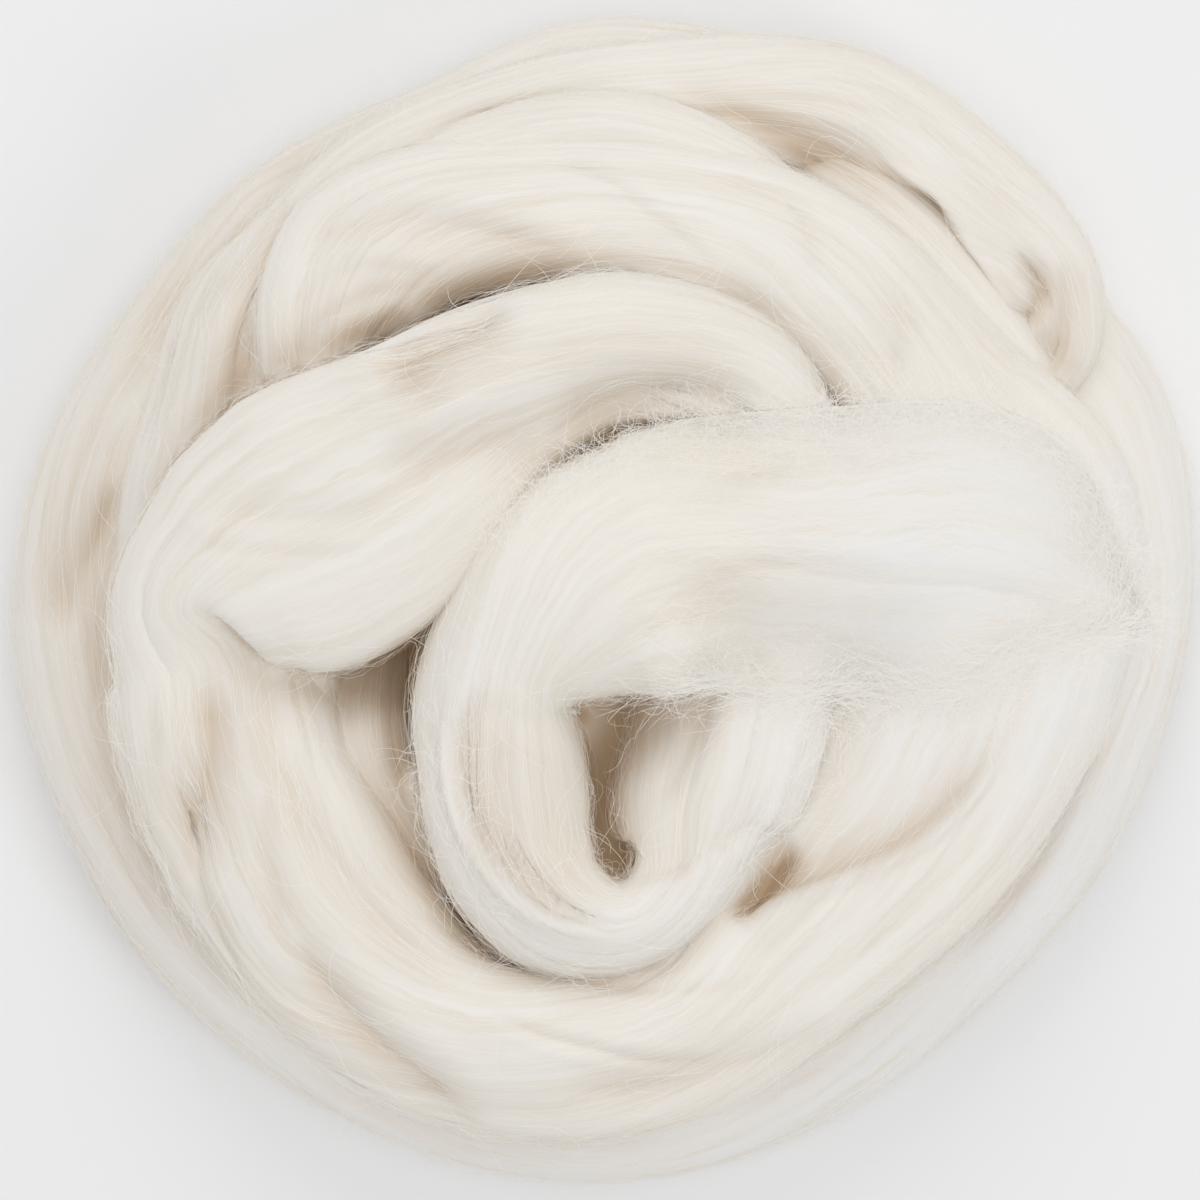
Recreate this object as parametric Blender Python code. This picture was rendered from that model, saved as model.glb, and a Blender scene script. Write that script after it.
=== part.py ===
"""Wool roving: one long strand of combed wool, wound by hand into a round nest.

The strand is a soft, flat rope of parallel fibres with no twist.  From its loose end, which lies
across the top, it runs anticlockwise and outward: round the pit in the middle, in an S over the
top, down the left side, along the front, up the right side, and round the back, and it ends out
of sight under the second turn.

Two solids, each a node of its own:
  wool_coil   the wound strand, all its turns pressed together into one body
  loose_end   the free end of the same strand, lying across the coil's top

Lengths in the tables are millimetres.  X is to the right, Y is away from the front, Z is up, and
the origin is on the surface, under the middle of the nest.
"""

import math
from collections import namedtuple

import bmesh
import bpy
import numpy as np
from mathutils import Vector
from mathutils.bvhtree import BVHTree

MM = 0.001

# ---- Driving dimensions, in millimetres ------------------------------------------------------

STRAND_WIDTH = 38.0        # the strand where nothing squeezes or spreads it
STRAND_DEPTH = 27.0        # its height there
LAYER_DROP = 25.0          # the hidden turns lie this much lower than the turns that show
OUTER_TOP = 28.0           # height of the outermost turn
BED_RADIUS = 96.0          # the hidden middle of the lowest turns, a flat bed
BED_TOP = 15.0             # the bed's height, which is the bottom of the pit
BELOW_SURFACE = 2.0        # every low turn is made this much too deep, then cut off flat
ROOT_X = 8.0               # the plane in which the loose end leaves the coil
ROOT_GAP = 0.3             # the gap between the two solids there
ROOT_CUT = 5.0             # the coil is cut off this far past that plane
ROOT_MARGIN = 3.0          # and the cut goes this far past the strand all round
LIE_CLEAR = 0.45           # the loose end's height over the coil it lies on
LIE_REACH = 2.6            # it clears everything this near to each of its points
LEAST_THICK = 1.6          # the loose end where it is thinnest

# ---- Grain of the modelling ------------------------------------------------------------------

SECTION_POWER = 2.3        # the section's squareness: 2 is an ellipse
EDGE_POWER = 3.0           # how late the loose end thins towards its sides
SECTION_POINTS = 24        # points round one section
CURVE_STEPS = 12           # steps between two rows of a table
STATION_STEP = 3.5         # distance between sections along the strand
VOXEL = 2.6                # grain at which the turns are pressed into one body
COIL_KEEP = 0.155          # share of the pressed body's triangles that is kept
LOOSE_ALONG = 30           # steps along the loose end
LOOSE_ACROSS = 14          # steps across it
BED_SIDES = 48             # sides of the round bed
ABOVE_ALL = 150.0          # a height over everything, from which the coil is felt
CUT_REACH = 200.0          # the base cut goes past the nest on every side

WOOL_COLOUR = (0.80, 0.74, 0.64, 1.0)
WOOL_ROUGHNESS = 0.95

# ---- The strand's way, outward from the loose end --------------------------------------------
# x, y: middle of the strand.  top: height of its crest.  wide, deep: its section, as shares of
# STRAND_WIDTH and STRAND_DEPTH.  roll: degrees by which its left side, looking along it, is up.

Station = namedtuple("Station", "x y top wide deep roll")

INNER_RING = [
    Station(11, 7, 67, 1.32, 0.89, 0),
    Station(2, 6, 67, 1.29, 0.93, 0),
    Station(-7, 1, 66, 1.16, 1.04, -6),
    Station(-16, -11, 65, 0.89, 1.19, -14),
    Station(-21, -26, 64, 0.82, 1.26, -18),
    Station(-21, -42, 63, 0.84, 1.26, -20),
    Station(-15, -55, 62, 0.82, 1.26, -18),
    Station(-6, -62, 61, 0.68, 1.26, -14),
    Station(8, -63, 60, 0.55, 1.19, -10),
    Station(20, -55, 58, 0.63, 1.19, -14),
    Station(27, -39, 56, 0.76, 1.19, -16),
    Station(30, -23, 54, 0.79, 1.11, -14),
    Station(34, -8, 50, 0.79, 1.04, -8),
    Station(38, 12, 49, 0.74, 0.96, 0),
]

S_BEND = [
    Station(38, 30, 52, 0.68, 0.96, -6),
    Station(34, 45, 57, 0.66, 0.93, -16),
    Station(21, 55, 61, 0.58, 0.93, -20),
    Station(5, 56, 63, 0.58, 0.93, -20),
    Station(-9, 50, 64, 0.74, 0.93, -14),
    Station(-22, 39, 65, 1.05, 0.93, -6),
    Station(-39, 25, 65, 1.37, 0.93, 0),
    Station(-58, 14, 64, 1.47, 0.93, 0),
    Station(-72, 7, 62, 1.21, 0.93, 4),
    Station(-81, -1, 58, 0.84, 0.93, 8),
]

FRONT_TURN = [
    Station(-84, -13, 54, 0.68, 0.96, 10),
    Station(-79, -26, 52, 0.89, 1, 10),
    Station(-72, -40, 52, 1.13, 1, 10),
    Station(-63, -52, 51, 1.24, 1, 10),
    Station(-51, -69, 50, 1.21, 1, 10),
    Station(-33, -84, 50, 1.03, 1, 12),
    Station(-8, -91, 50, 0.92, 1, 14),
    Station(18, -86, 50, 0.89, 1, 14),
    Station(40, -70, 50, 1, 1, 14),
    Station(57, -51, 50, 1.16, 1, 12),
    Station(71, -34, 50, 1.21, 1, 10),
    Station(81, -16, 49, 1.18, 1, 8),
    Station(86, 2, 48, 1.13, 0.96, 6),
]

BACK_TURN = [
    Station(83, 20, 49, 1.13, 0.96, 6),
    Station(73, 37, 52, 1.11, 1, 8),
    Station(61, 53, 55, 1, 1, 10),
    Station(48, 65, 58, 0.82, 1, 10),
    Station(34, 72, 58, 0.68, 1, 10),
    Station(17, 76, 58, 0.68, 1, 10),
    Station(0, 78, 57, 0.63, 1, 12),
    Station(-17, 76, 56, 0.74, 1, 12),
    Station(-34, 73, 54, 0.87, 1, 12),
    Station(-48, 66, 52, 0.97, 1, 12),
    Station(-59, 54, 50, 1, 1, 10),
    Station(-67, 42, 46, 0.95, 1, 6),
    Station(-74, 26, 40, 0.89, 1, 0),
]

# Out of sight under the front turn, from the left side round to the right.
LOWER_FRONT = [
    Station(-72, 2, 32, 0.95, 1.04, 0),
    Station(-66, -26, 28, 1, 1.11, 0),
    Station(-48, -52, 28, 1, 1.11, 0),
    Station(-24, -68, 28, 1, 1.11, 0),
    Station(0, -72, 28, 1, 1.11, 0),
    Station(26, -66, 28, 1, 1.11, 0),
    Station(50, -48, 28, 1, 1.11, 0),
    Station(68, -22, 28, 1, 1.11, 0),
    Station(78, 8, 28, 0.89, 1.11, 0),
    Station(84, 32, 32, 0.68, 1.04, 0),
]

SECOND_TURN = [
    Station(92, 48, 36, 0.47, 0.96, 10),
    Station(92, 58, 40, 0.53, 1.04, 12),
    Station(86, 69, 42, 0.63, 1.07, 14),
    Station(75, 80, 43, 0.71, 1.11, 16),
    Station(61, 90, 43, 0.76, 1.11, 18),
    Station(48, 96, 43, 0.76, 1.11, 18),
    Station(34, 98, 42, 0.76, 1.07, 18),
    Station(18, 98, 41, 0.74, 1.04, 18),
    Station(-2, 96, 40, 0.71, 1.04, 18),
    Station(-21, 91, 40, 0.71, 1.04, 18),
    Station(-41, 82, 40, 0.74, 1.04, 18),
    Station(-58, 71, 40, 0.74, 1.04, 18),
    Station(-71, 57, 40, 0.74, 1.04, 16),
    Station(-76, 40, 39, 0.74, 1.04, 14),
    Station(-81, 20, 37, 0.74, 1.04, 10),
    Station(-84, 0, 33, 0.74, 1.04, 6),
]

# Out of sight inside the outer turn, from the left side by the front to the back.
LOWER_OUTER = [
    Station(-84, -20, 28, 0.79, 1.11, 0),
    Station(-70, -50, 27, 0.84, 1.11, 0),
    Station(-44, -76, 27, 0.84, 1.11, 0),
    Station(-6, -87, 27, 0.84, 1.11, 0),
    Station(32, -80, 27, 0.84, 1.11, 0),
    Station(62, -58, 27, 0.84, 1.11, 0),
    Station(82, -30, 27, 0.84, 1.11, 0),
    Station(90, 2, 27, 0.84, 1.11, 0),
    Station(86, 34, 27, 0.84, 1.11, 0),
    Station(78, 58, 27, 0.84, 1.11, 0),
    Station(62, 78, 27, 0.84, 1.11, 0),
    Station(44, 91, 27, 0.89, 1.11, 0),
]

# The strand's inner edge where it doubles back at the left: it is folded in under the S bend and
# comes out again beside the front turn.
FOLD = [
    Station(-54, 8, 42, 0.55, 0.8, 0),
    Station(-61, -8, 46, 0.62, 0.85, 0),
    Station(-64, -22, 49, 0.65, 0.9, -6),
    Station(-62, -38, 50, 0.65, 0.9, -6),
    Station(-53, -54, 49, 0.6, 0.9, 0),
    Station(-40, -68, 47, 0.5, 0.85, 0),
]

# The outer turn keeps to the nest's edge, so its way is given by how far out it reaches.
Reach = namedtuple("Reach", "angle radius wide")

OUTER_TURN = [
    Reach(72, 116, 0.89),
    Reach(90, 117, 0.95),
    Reach(108, 110, 0.95),
    Reach(128, 111, 0.97),
    Reach(148, 112, 1),
    Reach(166, 116, 1),
    Reach(184, 118.5, 1),
    Reach(204, 119, 0.97),
    Reach(222, 118.5, 0.95),
    Reach(242, 117, 0.95),
    Reach(262, 118, 0.95),
    Reach(278, 118, 0.95),
    Reach(294, 115.5, 0.95),
    Reach(310, 112.5, 0.95),
    Reach(328, 114, 0.95),
    Reach(346, 116, 0.97),
    Reach(362, 119, 1),
    Reach(378, 121, 1),
    Reach(392, 117, 0.95),
    Reach(404, 111, 0.84),
]

# The loose end, from its root to its tip.  It is no thicker than this, and thinner over a bump.
Lay = namedtuple("Lay", "x y top wide thick")

LOOSE_END = [
    Lay(ROOT_X + ROOT_GAP, 7, 67, 1.32, 24),
    Lay(18, 7, 66.5, 1.34, 22),
    Lay(29, 7, 66, 1.39, 20),
    Lay(41, 8, 65, 1.47, 18),
    Lay(54, 8, 63, 1.53, 16),
    Lay(66, 7, 61, 1.55, 14),
    Lay(78, 6, 59, 1.5, 12),
    Lay(88, 5, 55.5, 1.39, 9),
    Lay(96, 3, 50, 1.18, 7),
    Lay(102, 1, 43, 0.84, 5),
    Lay(106, 0, 38, 0.47, 4),
]


# ---- Curves through the tables ---------------------------------------------------------------

def smooth(rows, step):
    """Rows read from a smooth curve through the table, a given distance apart."""
    keys = np.array([tuple(row) for row in rows], dtype=float)
    padded = np.vstack([2 * keys[0] - keys[1], keys, 2 * keys[-1] - keys[-2]])
    fine = []
    for before, start, end, after in zip(padded, padded[1:], padded[2:], padded[3:]):
        for t in np.linspace(0.0, 1.0, CURVE_STEPS, endpoint=False):
            fine.append(0.5 * (2 * start + (end - before) * t
                               + (2 * before - 5 * start + 4 * end - after) * t ** 2
                               + (3 * start - 3 * end + after - before) * t ** 3))
    fine = np.array(fine + [keys[-1]])
    travelled = np.concatenate([[0.0], np.cumsum(np.hypot(*np.diff(fine[:, :2], axis=0).T))])
    count = max(int(round(travelled[-1] / step)), 2)
    at = np.linspace(0.0, travelled[-1], count + 1)
    return np.column_stack([np.interp(at, travelled, column) for column in fine.T])


def left_of(path):
    """Level unit vectors to the left of a path, one for each of its points."""
    ahead = np.gradient(path[:, :2], axis=0)
    ahead /= np.linalg.norm(ahead, axis=1)[:, None]
    return np.column_stack([-ahead[:, 1], ahead[:, 0]])


def outer_stations():
    """The outer turn's reach turned into stations, like the other turns'."""
    stations = []
    deep = (OUTER_TOP + BELOW_SURFACE) / STRAND_DEPTH
    for angle, radius, wide in OUTER_TURN:
        middle = radius - wide * STRAND_WIDTH / 2
        turn = math.radians(angle)
        x = middle * math.cos(turn)
        y = middle * math.sin(turn)
        stations.append(Station(x, y, OUTER_TOP, wide, deep, 0))
    return stations


def lowered(stations, drop):
    """The same way, a layer lower, and filled down to the surface."""
    low = []
    for s in stations:
        top = s.top - drop
        low.append(Station(s.x, s.y, top, s.wide, (top + BELOW_SURFACE) / STRAND_DEPTH, 0))
    return low


# ---- Meshes ----------------------------------------------------------------------------------

def section(row, left):
    """One closed section of the strand: a squarish oval across its way, in millimetres."""
    x, y, top, wide, deep, roll = row
    width = wide * STRAND_WIDTH
    depth = deep * STRAND_DEPTH
    turn = np.linspace(0.0, 2 * math.pi, SECTION_POINTS, endpoint=False)
    power = 2.0 / SECTION_POWER
    across = width / 2 * np.sign(np.cos(turn)) * np.abs(np.cos(turn)) ** power
    up = depth / 2 * np.sign(np.sin(turn)) * np.abs(np.sin(turn)) ** power
    lean = math.radians(roll)
    level = across * math.cos(lean) - up * math.sin(lean)
    height = across * math.sin(lean) + up * math.cos(lean) + top - depth / 2
    return np.column_stack([x + left[0] * level, y + left[1] * level, height])


def add_sweep(mesh, stations):
    """Adds a closed tube along the stations to a bmesh."""
    path = smooth(stations, STATION_STEP)
    rings = []
    for row, left in zip(path, left_of(path)):
        rings.append([mesh.verts.new(Vector(point) * MM) for point in section(row, left)])
    for ring, following in zip(rings, rings[1:]):
        for i in range(SECTION_POINTS):
            j = (i + 1) % SECTION_POINTS
            mesh.faces.new((ring[i], ring[j], following[j], following[i]))
    mesh.faces.new(rings[0][::-1])
    mesh.faces.new(rings[-1])


def add_bed(mesh):
    """Adds the flat bed that fills the middle of the lowest turns."""
    radius = BED_RADIUS * MM
    made = bmesh.ops.create_cone(mesh, cap_ends=True, segments=BED_SIDES, radius1=radius,
                                 radius2=radius, depth=(BED_TOP + BELOW_SURFACE) * MM)
    middle = (BED_TOP - BELOW_SURFACE) / 2
    bmesh.ops.translate(mesh, verts=made["verts"], vec=(0, 0, middle * MM))


def outer_shell(mesh):
    """Deletes what is sealed inside, and keeps the largest of a mesh's separate shells."""
    left = set(mesh.verts)
    shells = []
    while left:
        shell = set()
        edge_of_shell = [left.pop()]
        while edge_of_shell:
            vert = edge_of_shell.pop()
            shell.add(vert)
            for edge in vert.link_edges:
                other = edge.other_vert(vert)
                if other in left:
                    left.remove(other)
                    edge_of_shell.append(other)
        shells.append(shell)
    shells.sort(key=len)
    for shell in shells[:-1]:
        bmesh.ops.delete(mesh, geom=list(shell), context="VERTS")


def block(name, low, high):
    """A box between two corners, in millimetres, that only cuts and isn't part of the object."""
    mesh = bpy.data.meshes.new(name)
    build = bmesh.new()
    bmesh.ops.create_cube(build, size=1.0)
    size = Vector(high) - Vector(low)
    bmesh.ops.scale(build, vec=size * MM, verts=build.verts)
    bmesh.ops.translate(build, vec=(Vector(low) + size / 2) * MM, verts=build.verts)
    build.to_mesh(mesh)
    build.free()
    cutter = bpy.data.objects.new(name, mesh)
    bpy.context.collection.objects.link(cutter)
    cutter.hide_render = True
    cutter.display_type = "WIRE"
    return cutter


def cut(obj, cutter):
    difference = obj.modifiers.new("cut " + cutter.name, "BOOLEAN")
    difference.operation = "DIFFERENCE"
    difference.object = cutter


def evaluated_mesh(obj):
    """The object's mesh with its modifiers applied."""
    graph = bpy.context.evaluated_depsgraph_get()
    graph.update()
    return bpy.data.meshes.new_from_object(obj.evaluated_get(graph))


def wool(name):
    material = bpy.data.materials.new(name)
    material.use_nodes = True
    shader = material.node_tree.nodes["Principled BSDF"]
    shader.inputs["Base Color"].default_value = WOOL_COLOUR
    shader.inputs["Roughness"].default_value = WOOL_ROUGHNESS
    shader.inputs["Metallic"].default_value = 0.0
    material.diffuse_color = WOOL_COLOUR
    return material


# ---- The two solids --------------------------------------------------------------------------

def make_coil():
    """All the turns pressed into one body, then cut off flat where it stands."""
    turns = bmesh.new()
    shown = INNER_RING + S_BEND + FRONT_TURN + BACK_TURN + LOWER_FRONT
    shown += SECOND_TURN + LOWER_OUTER + outer_stations()
    add_sweep(turns, shown)
    add_sweep(turns, FOLD)
    add_sweep(turns, lowered(INNER_RING + S_BEND, LAYER_DROP))
    add_sweep(turns, lowered(BACK_TURN, LAYER_DROP))
    add_bed(turns)
    mesh = bpy.data.meshes.new("turns")
    turns.to_mesh(mesh)
    turns.free()

    coil = bpy.data.objects.new("wool_coil", mesh)
    bpy.context.collection.objects.link(coil)
    press = coil.modifiers.new("press together", "REMESH")
    press.mode = "VOXEL"
    press.voxel_size = VOXEL * MM
    soften = coil.modifiers.new("soften", "SMOOTH")
    soften.factor = 0.5
    soften.iterations = 2
    thin_out = coil.modifiers.new("thin out", "DECIMATE")
    thin_out.ratio = COIL_KEEP
    pressed = evaluated_mesh(coil)

    coil.modifiers.clear()
    body = bmesh.new()
    body.from_mesh(pressed)
    outer_shell(body)
    body.to_mesh(mesh)
    body.free()
    reach = CUT_REACH
    cut(coil, block("base_cutter", (-reach, -reach, -5 * BELOW_SURFACE), (reach, reach, 0)))
    root = INNER_RING[0]
    side = root.wide * STRAND_WIDTH / 2 + ROOT_MARGIN
    low = root.top - root.deep * STRAND_DEPTH - ROOT_MARGIN
    cut(coil, block("root_cutter", (ROOT_X, root.y - side, low),
                    (ROOT_X + ROOT_CUT, root.y + side, root.top + ROOT_MARGIN)))
    mesh.materials.append(wool("combed wool"))
    mesh.shade_smooth()
    return coil


def ground_under(surface, x, y):
    """The highest the surface gets within a short reach of a point, outside the coil's cut face."""
    highest = 0.0
    for dx in (-LIE_REACH, 0.0, LIE_REACH):
        for dy in (-LIE_REACH, 0.0, LIE_REACH):
            start = Vector((max(x + dx, ROOT_X + ROOT_GAP / 2), y + dy, ABOVE_ALL)) * MM
            hit = surface.ray_cast(start, Vector((0, 0, -1)))[0]
            if hit:
                highest = max(highest, hit.z / MM)
    return highest


def make_loose_end(coil):
    """A soft sheet laid over the coil: its underside follows what it lies on."""
    under = evaluated_mesh(coil)
    surface = BVHTree.FromPolygons([v.co for v in under.vertices],
                                   [p.vertices for p in under.polygons])
    length = LOOSE_END[-1].x - LOOSE_END[0].x
    path = smooth(LOOSE_END, length / LOOSE_ALONG)
    lefts = left_of(path)
    lefts[0] = (0.0, 1.0)
    build = bmesh.new()
    uppers = []
    lowers = []
    for (x, y, crest, wide, thick), left in zip(path, lefts):
        upper_row = []
        lower_row = []
        for share in np.linspace(-1.0, 1.0, LOOSE_ACROSS + 1):
            bulge = math.sqrt(max(1 - abs(share) ** EDGE_POWER, 0.0))
            px = x + left[0] * share * wide * STRAND_WIDTH / 2
            py = y + left[1] * share * wide * STRAND_WIDTH / 2
            lower = max(crest - thick, ground_under(surface, px, py) + LIE_CLEAR)
            upper = max(crest - thick * (1 - bulge), lower + LEAST_THICK)
            upper_row.append(build.verts.new(Vector((px, py, upper)) * MM))
            lower_row.append(build.verts.new(Vector((px, py, lower)) * MM))
        uppers.append(upper_row)
        lowers.append(lower_row)
    for rows, flip in ((uppers, False), (lowers, True)):
        for row, following in zip(rows, rows[1:]):
            for i in range(LOOSE_ACROSS):
                face = (row[i], following[i], following[i + 1], row[i + 1])
                build.faces.new(face[::-1] if flip else face)
    rim = [row[0] for row in uppers] + uppers[-1][1:] + [row[-1] for row in uppers[-2::-1]]
    rim += uppers[0][-2:0:-1]
    foot = [row[0] for row in lowers] + lowers[-1][1:] + [row[-1] for row in lowers[-2::-1]]
    foot += lowers[0][-2:0:-1]
    for i in range(len(rim)):
        j = (i + 1) % len(rim)
        build.faces.new((rim[j], rim[i], foot[i], foot[j]))
    bmesh.ops.recalc_face_normals(build, faces=build.faces)
    mesh = bpy.data.meshes.new("loose_end")
    build.to_mesh(mesh)
    build.free()
    end = bpy.data.objects.new("loose_end", mesh)
    bpy.context.collection.objects.link(end)
    mesh.materials.append(wool("combed wool end"))
    mesh.shade_smooth()
    return end


def main():
    for old in list(bpy.data.objects):
        bpy.data.objects.remove(old)
    coil = make_coil()
    make_loose_end(coil)


main()
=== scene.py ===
# %% [markdown]
# # A nest of combed wool
#
# Roving is wool that has been combed until all its fibres lie side by side, then drawn out into one
# long, soft, untwisted strand.  It is kept by winding it loosely by hand into a round nest.  This
# lesson builds such a nest from tables of stations along the strand.  The tables are swept into
# turns, and the turns get the folds and creases that soft fibre makes.  Single fibres, the material
# and the light come last.
#
# A cloth simulation knows sheets, but a roving is a bundle of loose fibres with nothing woven in
# it.  So its form is built up in code, in the order in which the wool got it: first the turns as
# the hand laid them, then the locks, then the creases.
#
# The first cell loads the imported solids.  They fix the size and place of everything that follows.

# %% Load the frame
import math
from collections import namedtuple

import bpy
import numpy as np
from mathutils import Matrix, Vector
from mathutils.bvhtree import BVHTree


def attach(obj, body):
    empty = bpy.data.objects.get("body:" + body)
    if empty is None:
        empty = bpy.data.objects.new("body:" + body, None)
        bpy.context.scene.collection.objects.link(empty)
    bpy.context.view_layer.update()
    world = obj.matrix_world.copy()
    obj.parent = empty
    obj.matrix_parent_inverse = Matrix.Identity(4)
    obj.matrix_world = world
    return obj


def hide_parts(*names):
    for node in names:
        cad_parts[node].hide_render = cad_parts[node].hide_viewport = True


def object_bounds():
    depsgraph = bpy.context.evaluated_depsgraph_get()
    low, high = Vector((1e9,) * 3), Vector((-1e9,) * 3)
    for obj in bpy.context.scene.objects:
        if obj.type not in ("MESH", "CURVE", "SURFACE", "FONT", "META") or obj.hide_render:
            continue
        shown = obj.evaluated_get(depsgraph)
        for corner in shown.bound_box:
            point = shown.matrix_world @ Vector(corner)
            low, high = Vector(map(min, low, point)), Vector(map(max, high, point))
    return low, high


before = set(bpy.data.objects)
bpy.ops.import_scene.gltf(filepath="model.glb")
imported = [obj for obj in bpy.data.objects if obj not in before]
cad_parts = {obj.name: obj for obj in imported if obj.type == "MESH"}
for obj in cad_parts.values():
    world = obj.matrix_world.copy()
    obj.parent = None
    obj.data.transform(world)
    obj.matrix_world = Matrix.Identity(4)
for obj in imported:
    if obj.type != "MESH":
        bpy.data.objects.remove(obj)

CAD_BOX = [list(corner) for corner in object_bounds()]
MM = 0.001
NEST_HEIGHT = CAD_BOX[1][2] / MM
print("solids:", sorted(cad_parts), "height of the nest, mm:", round(NEST_HEIGHT, 1))

# %% [markdown]
# ## The camera
#
# The nest is seen from straight above, so the camera looks down the Z axis with +Y upwards.  It
# stands well back with a long lens, as for a product picture, so the upper turns look hardly
# larger than the lower ones.  The lens follows from the width to be seen at half the nest's height.

# %% Camera
VIEW_WIDTH = 240.0         # what the picture takes in, in mm
CAMERA_BACK = 1500.0       # distance from the nest's middle height, in mm


def make_camera():
    """The scene's camera, above the nest's middle."""
    data = bpy.data.cameras.new("camera above")
    data.sensor_width = 36.0
    data.lens = data.sensor_width * CAMERA_BACK / VIEW_WIDTH
    camera = bpy.data.objects.new("camera above", data)
    bpy.context.collection.objects.link(camera)
    camera.location = (0, 0, (NEST_HEIGHT / 2 + CAMERA_BACK) * MM)
    data.clip_end = 10.0
    bpy.context.scene.camera = camera
    return camera


camera = make_camera()
print("lens, mm:", round(camera.data.lens))

# %% [markdown]
# ## The strand's way
#
# Each row is a station on the strand: where its middle is, how high its crest lies, how wide and
# deep it is there as a share of the plain strand, and how far it leans.  They run outward from the
# loose end: round the pit, in an S over the top, down the left side, along the front, up the right
# side and round the back.  A smooth curve through a dozen rows gives a more natural turn than many
# rows would, because wool has no corners.

# %% Stations
STRAND_WIDTH = 38.0        # the plain strand, in mm
STRAND_DEPTH = 27.0
OUTER_TOP = 28.0           # how high the outer turn's crest lies
GROUND_SINK = 2.0          # how far a turn on the surface reaches below it, where it is pressed flat
LAYER_DROP = 25.0          # from a turn's crest to that of the turn below it

Station = namedtuple("Station", "x y top wide deep roll", defaults=(1, 0))


def stations(*rows):
    """A table's rows as stations, in mm and degrees.  A plain depth and a lean of 0 are left out."""
    return [Station(*row) for row in rows]


print("a station holds:", Station._fields)

# %% Tables of the turns that cross on top
INNER_RING = stations(
    (9, 6.2, 67, 1.38, 0.89), (-1, 2.8, 66.5, 1.3, 0.93, -4), (-10.5, -3.5, 65.5, 1.12, 1, -14),
    (-18, -12, 63.5, 0.9, 1, -24), (-21, -21.5, 61.5, 0.88, 1, -34),
    (-19.5, -31, 60, 0.98, 0.96, -40), (-18, -41.5, 59, 1, 0.96, -40),
    (-15.5, -52, 58.5, 0.88, 1, -36), (-8.5, -61.5, 58.5, 0.74, 1.1, -28),
    (2, -65.5, 58.5, 0.58, 1.15, -20), (11, -63, 57.5, 0.54, 1.12, -20),
    (18, -54, 55.5, 0.68, 1.08, -26), (19.5, -42.5, 53, 1.04, 1, -34),
    (23.5, -30, 51.5, 1.18, 0.98, -38), (26.5, -17, 50, 1.18, 0.98, -34),
    (32, -3, 48.5, 1, 0.96, -16), (37, 12, 47.5, 0.78, 0.96))

S_BEND = stations(
    (37, 29, 52, 0.68, 0.96, -6), (31.5, 42, 56.5, 0.76, 0.9, -30),
    (19.5, 49, 60.5, 0.78, 0.9, -38), (5, 50.5, 62.5, 0.84, 0.9, -38),
    (-8, 47, 63.5, 0.92, 0.9, -34), (-22, 39, 64.5, 1.08, 0.93, -18), (-39, 25, 65, 1.37, 0.93),
    (-58, 14, 64, 1.47, 0.93), (-72, 7, 62, 1.21, 0.93, 4), (-81, -1, 58, 0.84, 0.93, 8))

FRONT_TURN = stations(
    (-77.5, -13, 52, 1.1, 0.96, -8), (-75, -26, 53, 1.2, 1, -4), (-70.5, -40, 53, 1.2),
    (-62.5, -53, 52, 1.24, 1, 6), (-51, -69, 50, 1.21, 1, 10), (-33, -84, 50, 1.03, 1, 12),
    (-8, -91, 50, 0.92, 1, 14), (18, -86, 50, 0.89, 1, 8), (38.5, -68.5, 49.5, 1.06, 1, -2),
    (54.5, -49.5, 49, 1.32, 1, -7), (66, -31, 49, 1.48, 1, -4), (76, -13, 49, 1.46),
    (84, 3, 47.5, 1.22, 0.96, 2))

BACK_TURN = stations(
    (83, 20, 49, 1.13, 0.96, 6), (69.5, 35.5, 52, 1.0, 1, 8), (55, 53.5, 55, 0.88, 1, 8),
    (44.5, 63, 57.5, 0.84, 1, 8), (33, 70, 58, 0.78, 1, 8), (17, 74, 58, 0.8, 1, 8),
    (0, 76, 57, 0.76, 1, 10), (-17, 75.5, 56, 0.77, 1, 12), (-34, 73, 54, 0.87, 1, 12),
    (-46, 66.5, 53, 0.95, 1, 12), (-53, 57.5, 52, 0.82, 1, 8), (-56, 47.5, 49, 0.7, 1, 4),
    (-57, 37, 44, 0.66), (-60, 22, 38, 0.7))

print("rows:", [len(table) for table in (INNER_RING, S_BEND, FRONT_TURN, BACK_TURN)])

# %% Tables of the turns at the edge and out of sight
# Out of sight under the front turn, from the left side round to the right.
LOWER_FRONT = stations(
    (-72, 2, 32, 0.95, 1.04), (-66, -26, 28, 1, 1.11), (-48, -52, 28, 1, 1.11),
    (-24, -68, 28, 1, 1.11), (0, -72, 28, 1, 1.11), (26, -66, 28, 1, 1.11), (50, -48, 28, 1, 1.11),
    (68, -22, 28, 1, 1.11), (78, 8, 28, 0.89, 1.11), (84, 32, 32, 0.68, 1.04))

SECOND_TURN = stations(
    (79, 39, 27, 0.42, 0.9), (86, 43.5, 32, 0.48, 0.96, 6), (90.2, 51, 37, 0.56, 1, 10),
    (89.5, 60.5, 40.5, 0.65, 1.04, 12), (84, 69.5, 42, 0.73, 1.07, 14),
    (73.5, 79, 43, 0.79, 1.11, 16), (60.5, 89, 43, 0.8, 1.11, 18), (48, 96, 43, 0.76, 1.11, 18),
    (34, 98, 42, 0.76, 1.07, 18), (18, 98, 41, 0.74, 1.04, 18), (-2, 96, 40, 0.71, 1.04, 18),
    (-21, 91, 40, 0.71, 1.04, 18), (-41, 82, 40, 0.74, 1.04, 18), (-57, 68.5, 42, 0.72, 1.04, 6),
    (-69.5, 56, 42.5, 0.72, 1.04, -12), (-75, 40, 42, 0.74, 1.04, -18),
    (-81, 20, 40, 0.76, 1.04, -16), (-84, 0, 34, 0.74, 1.04, -6))

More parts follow.
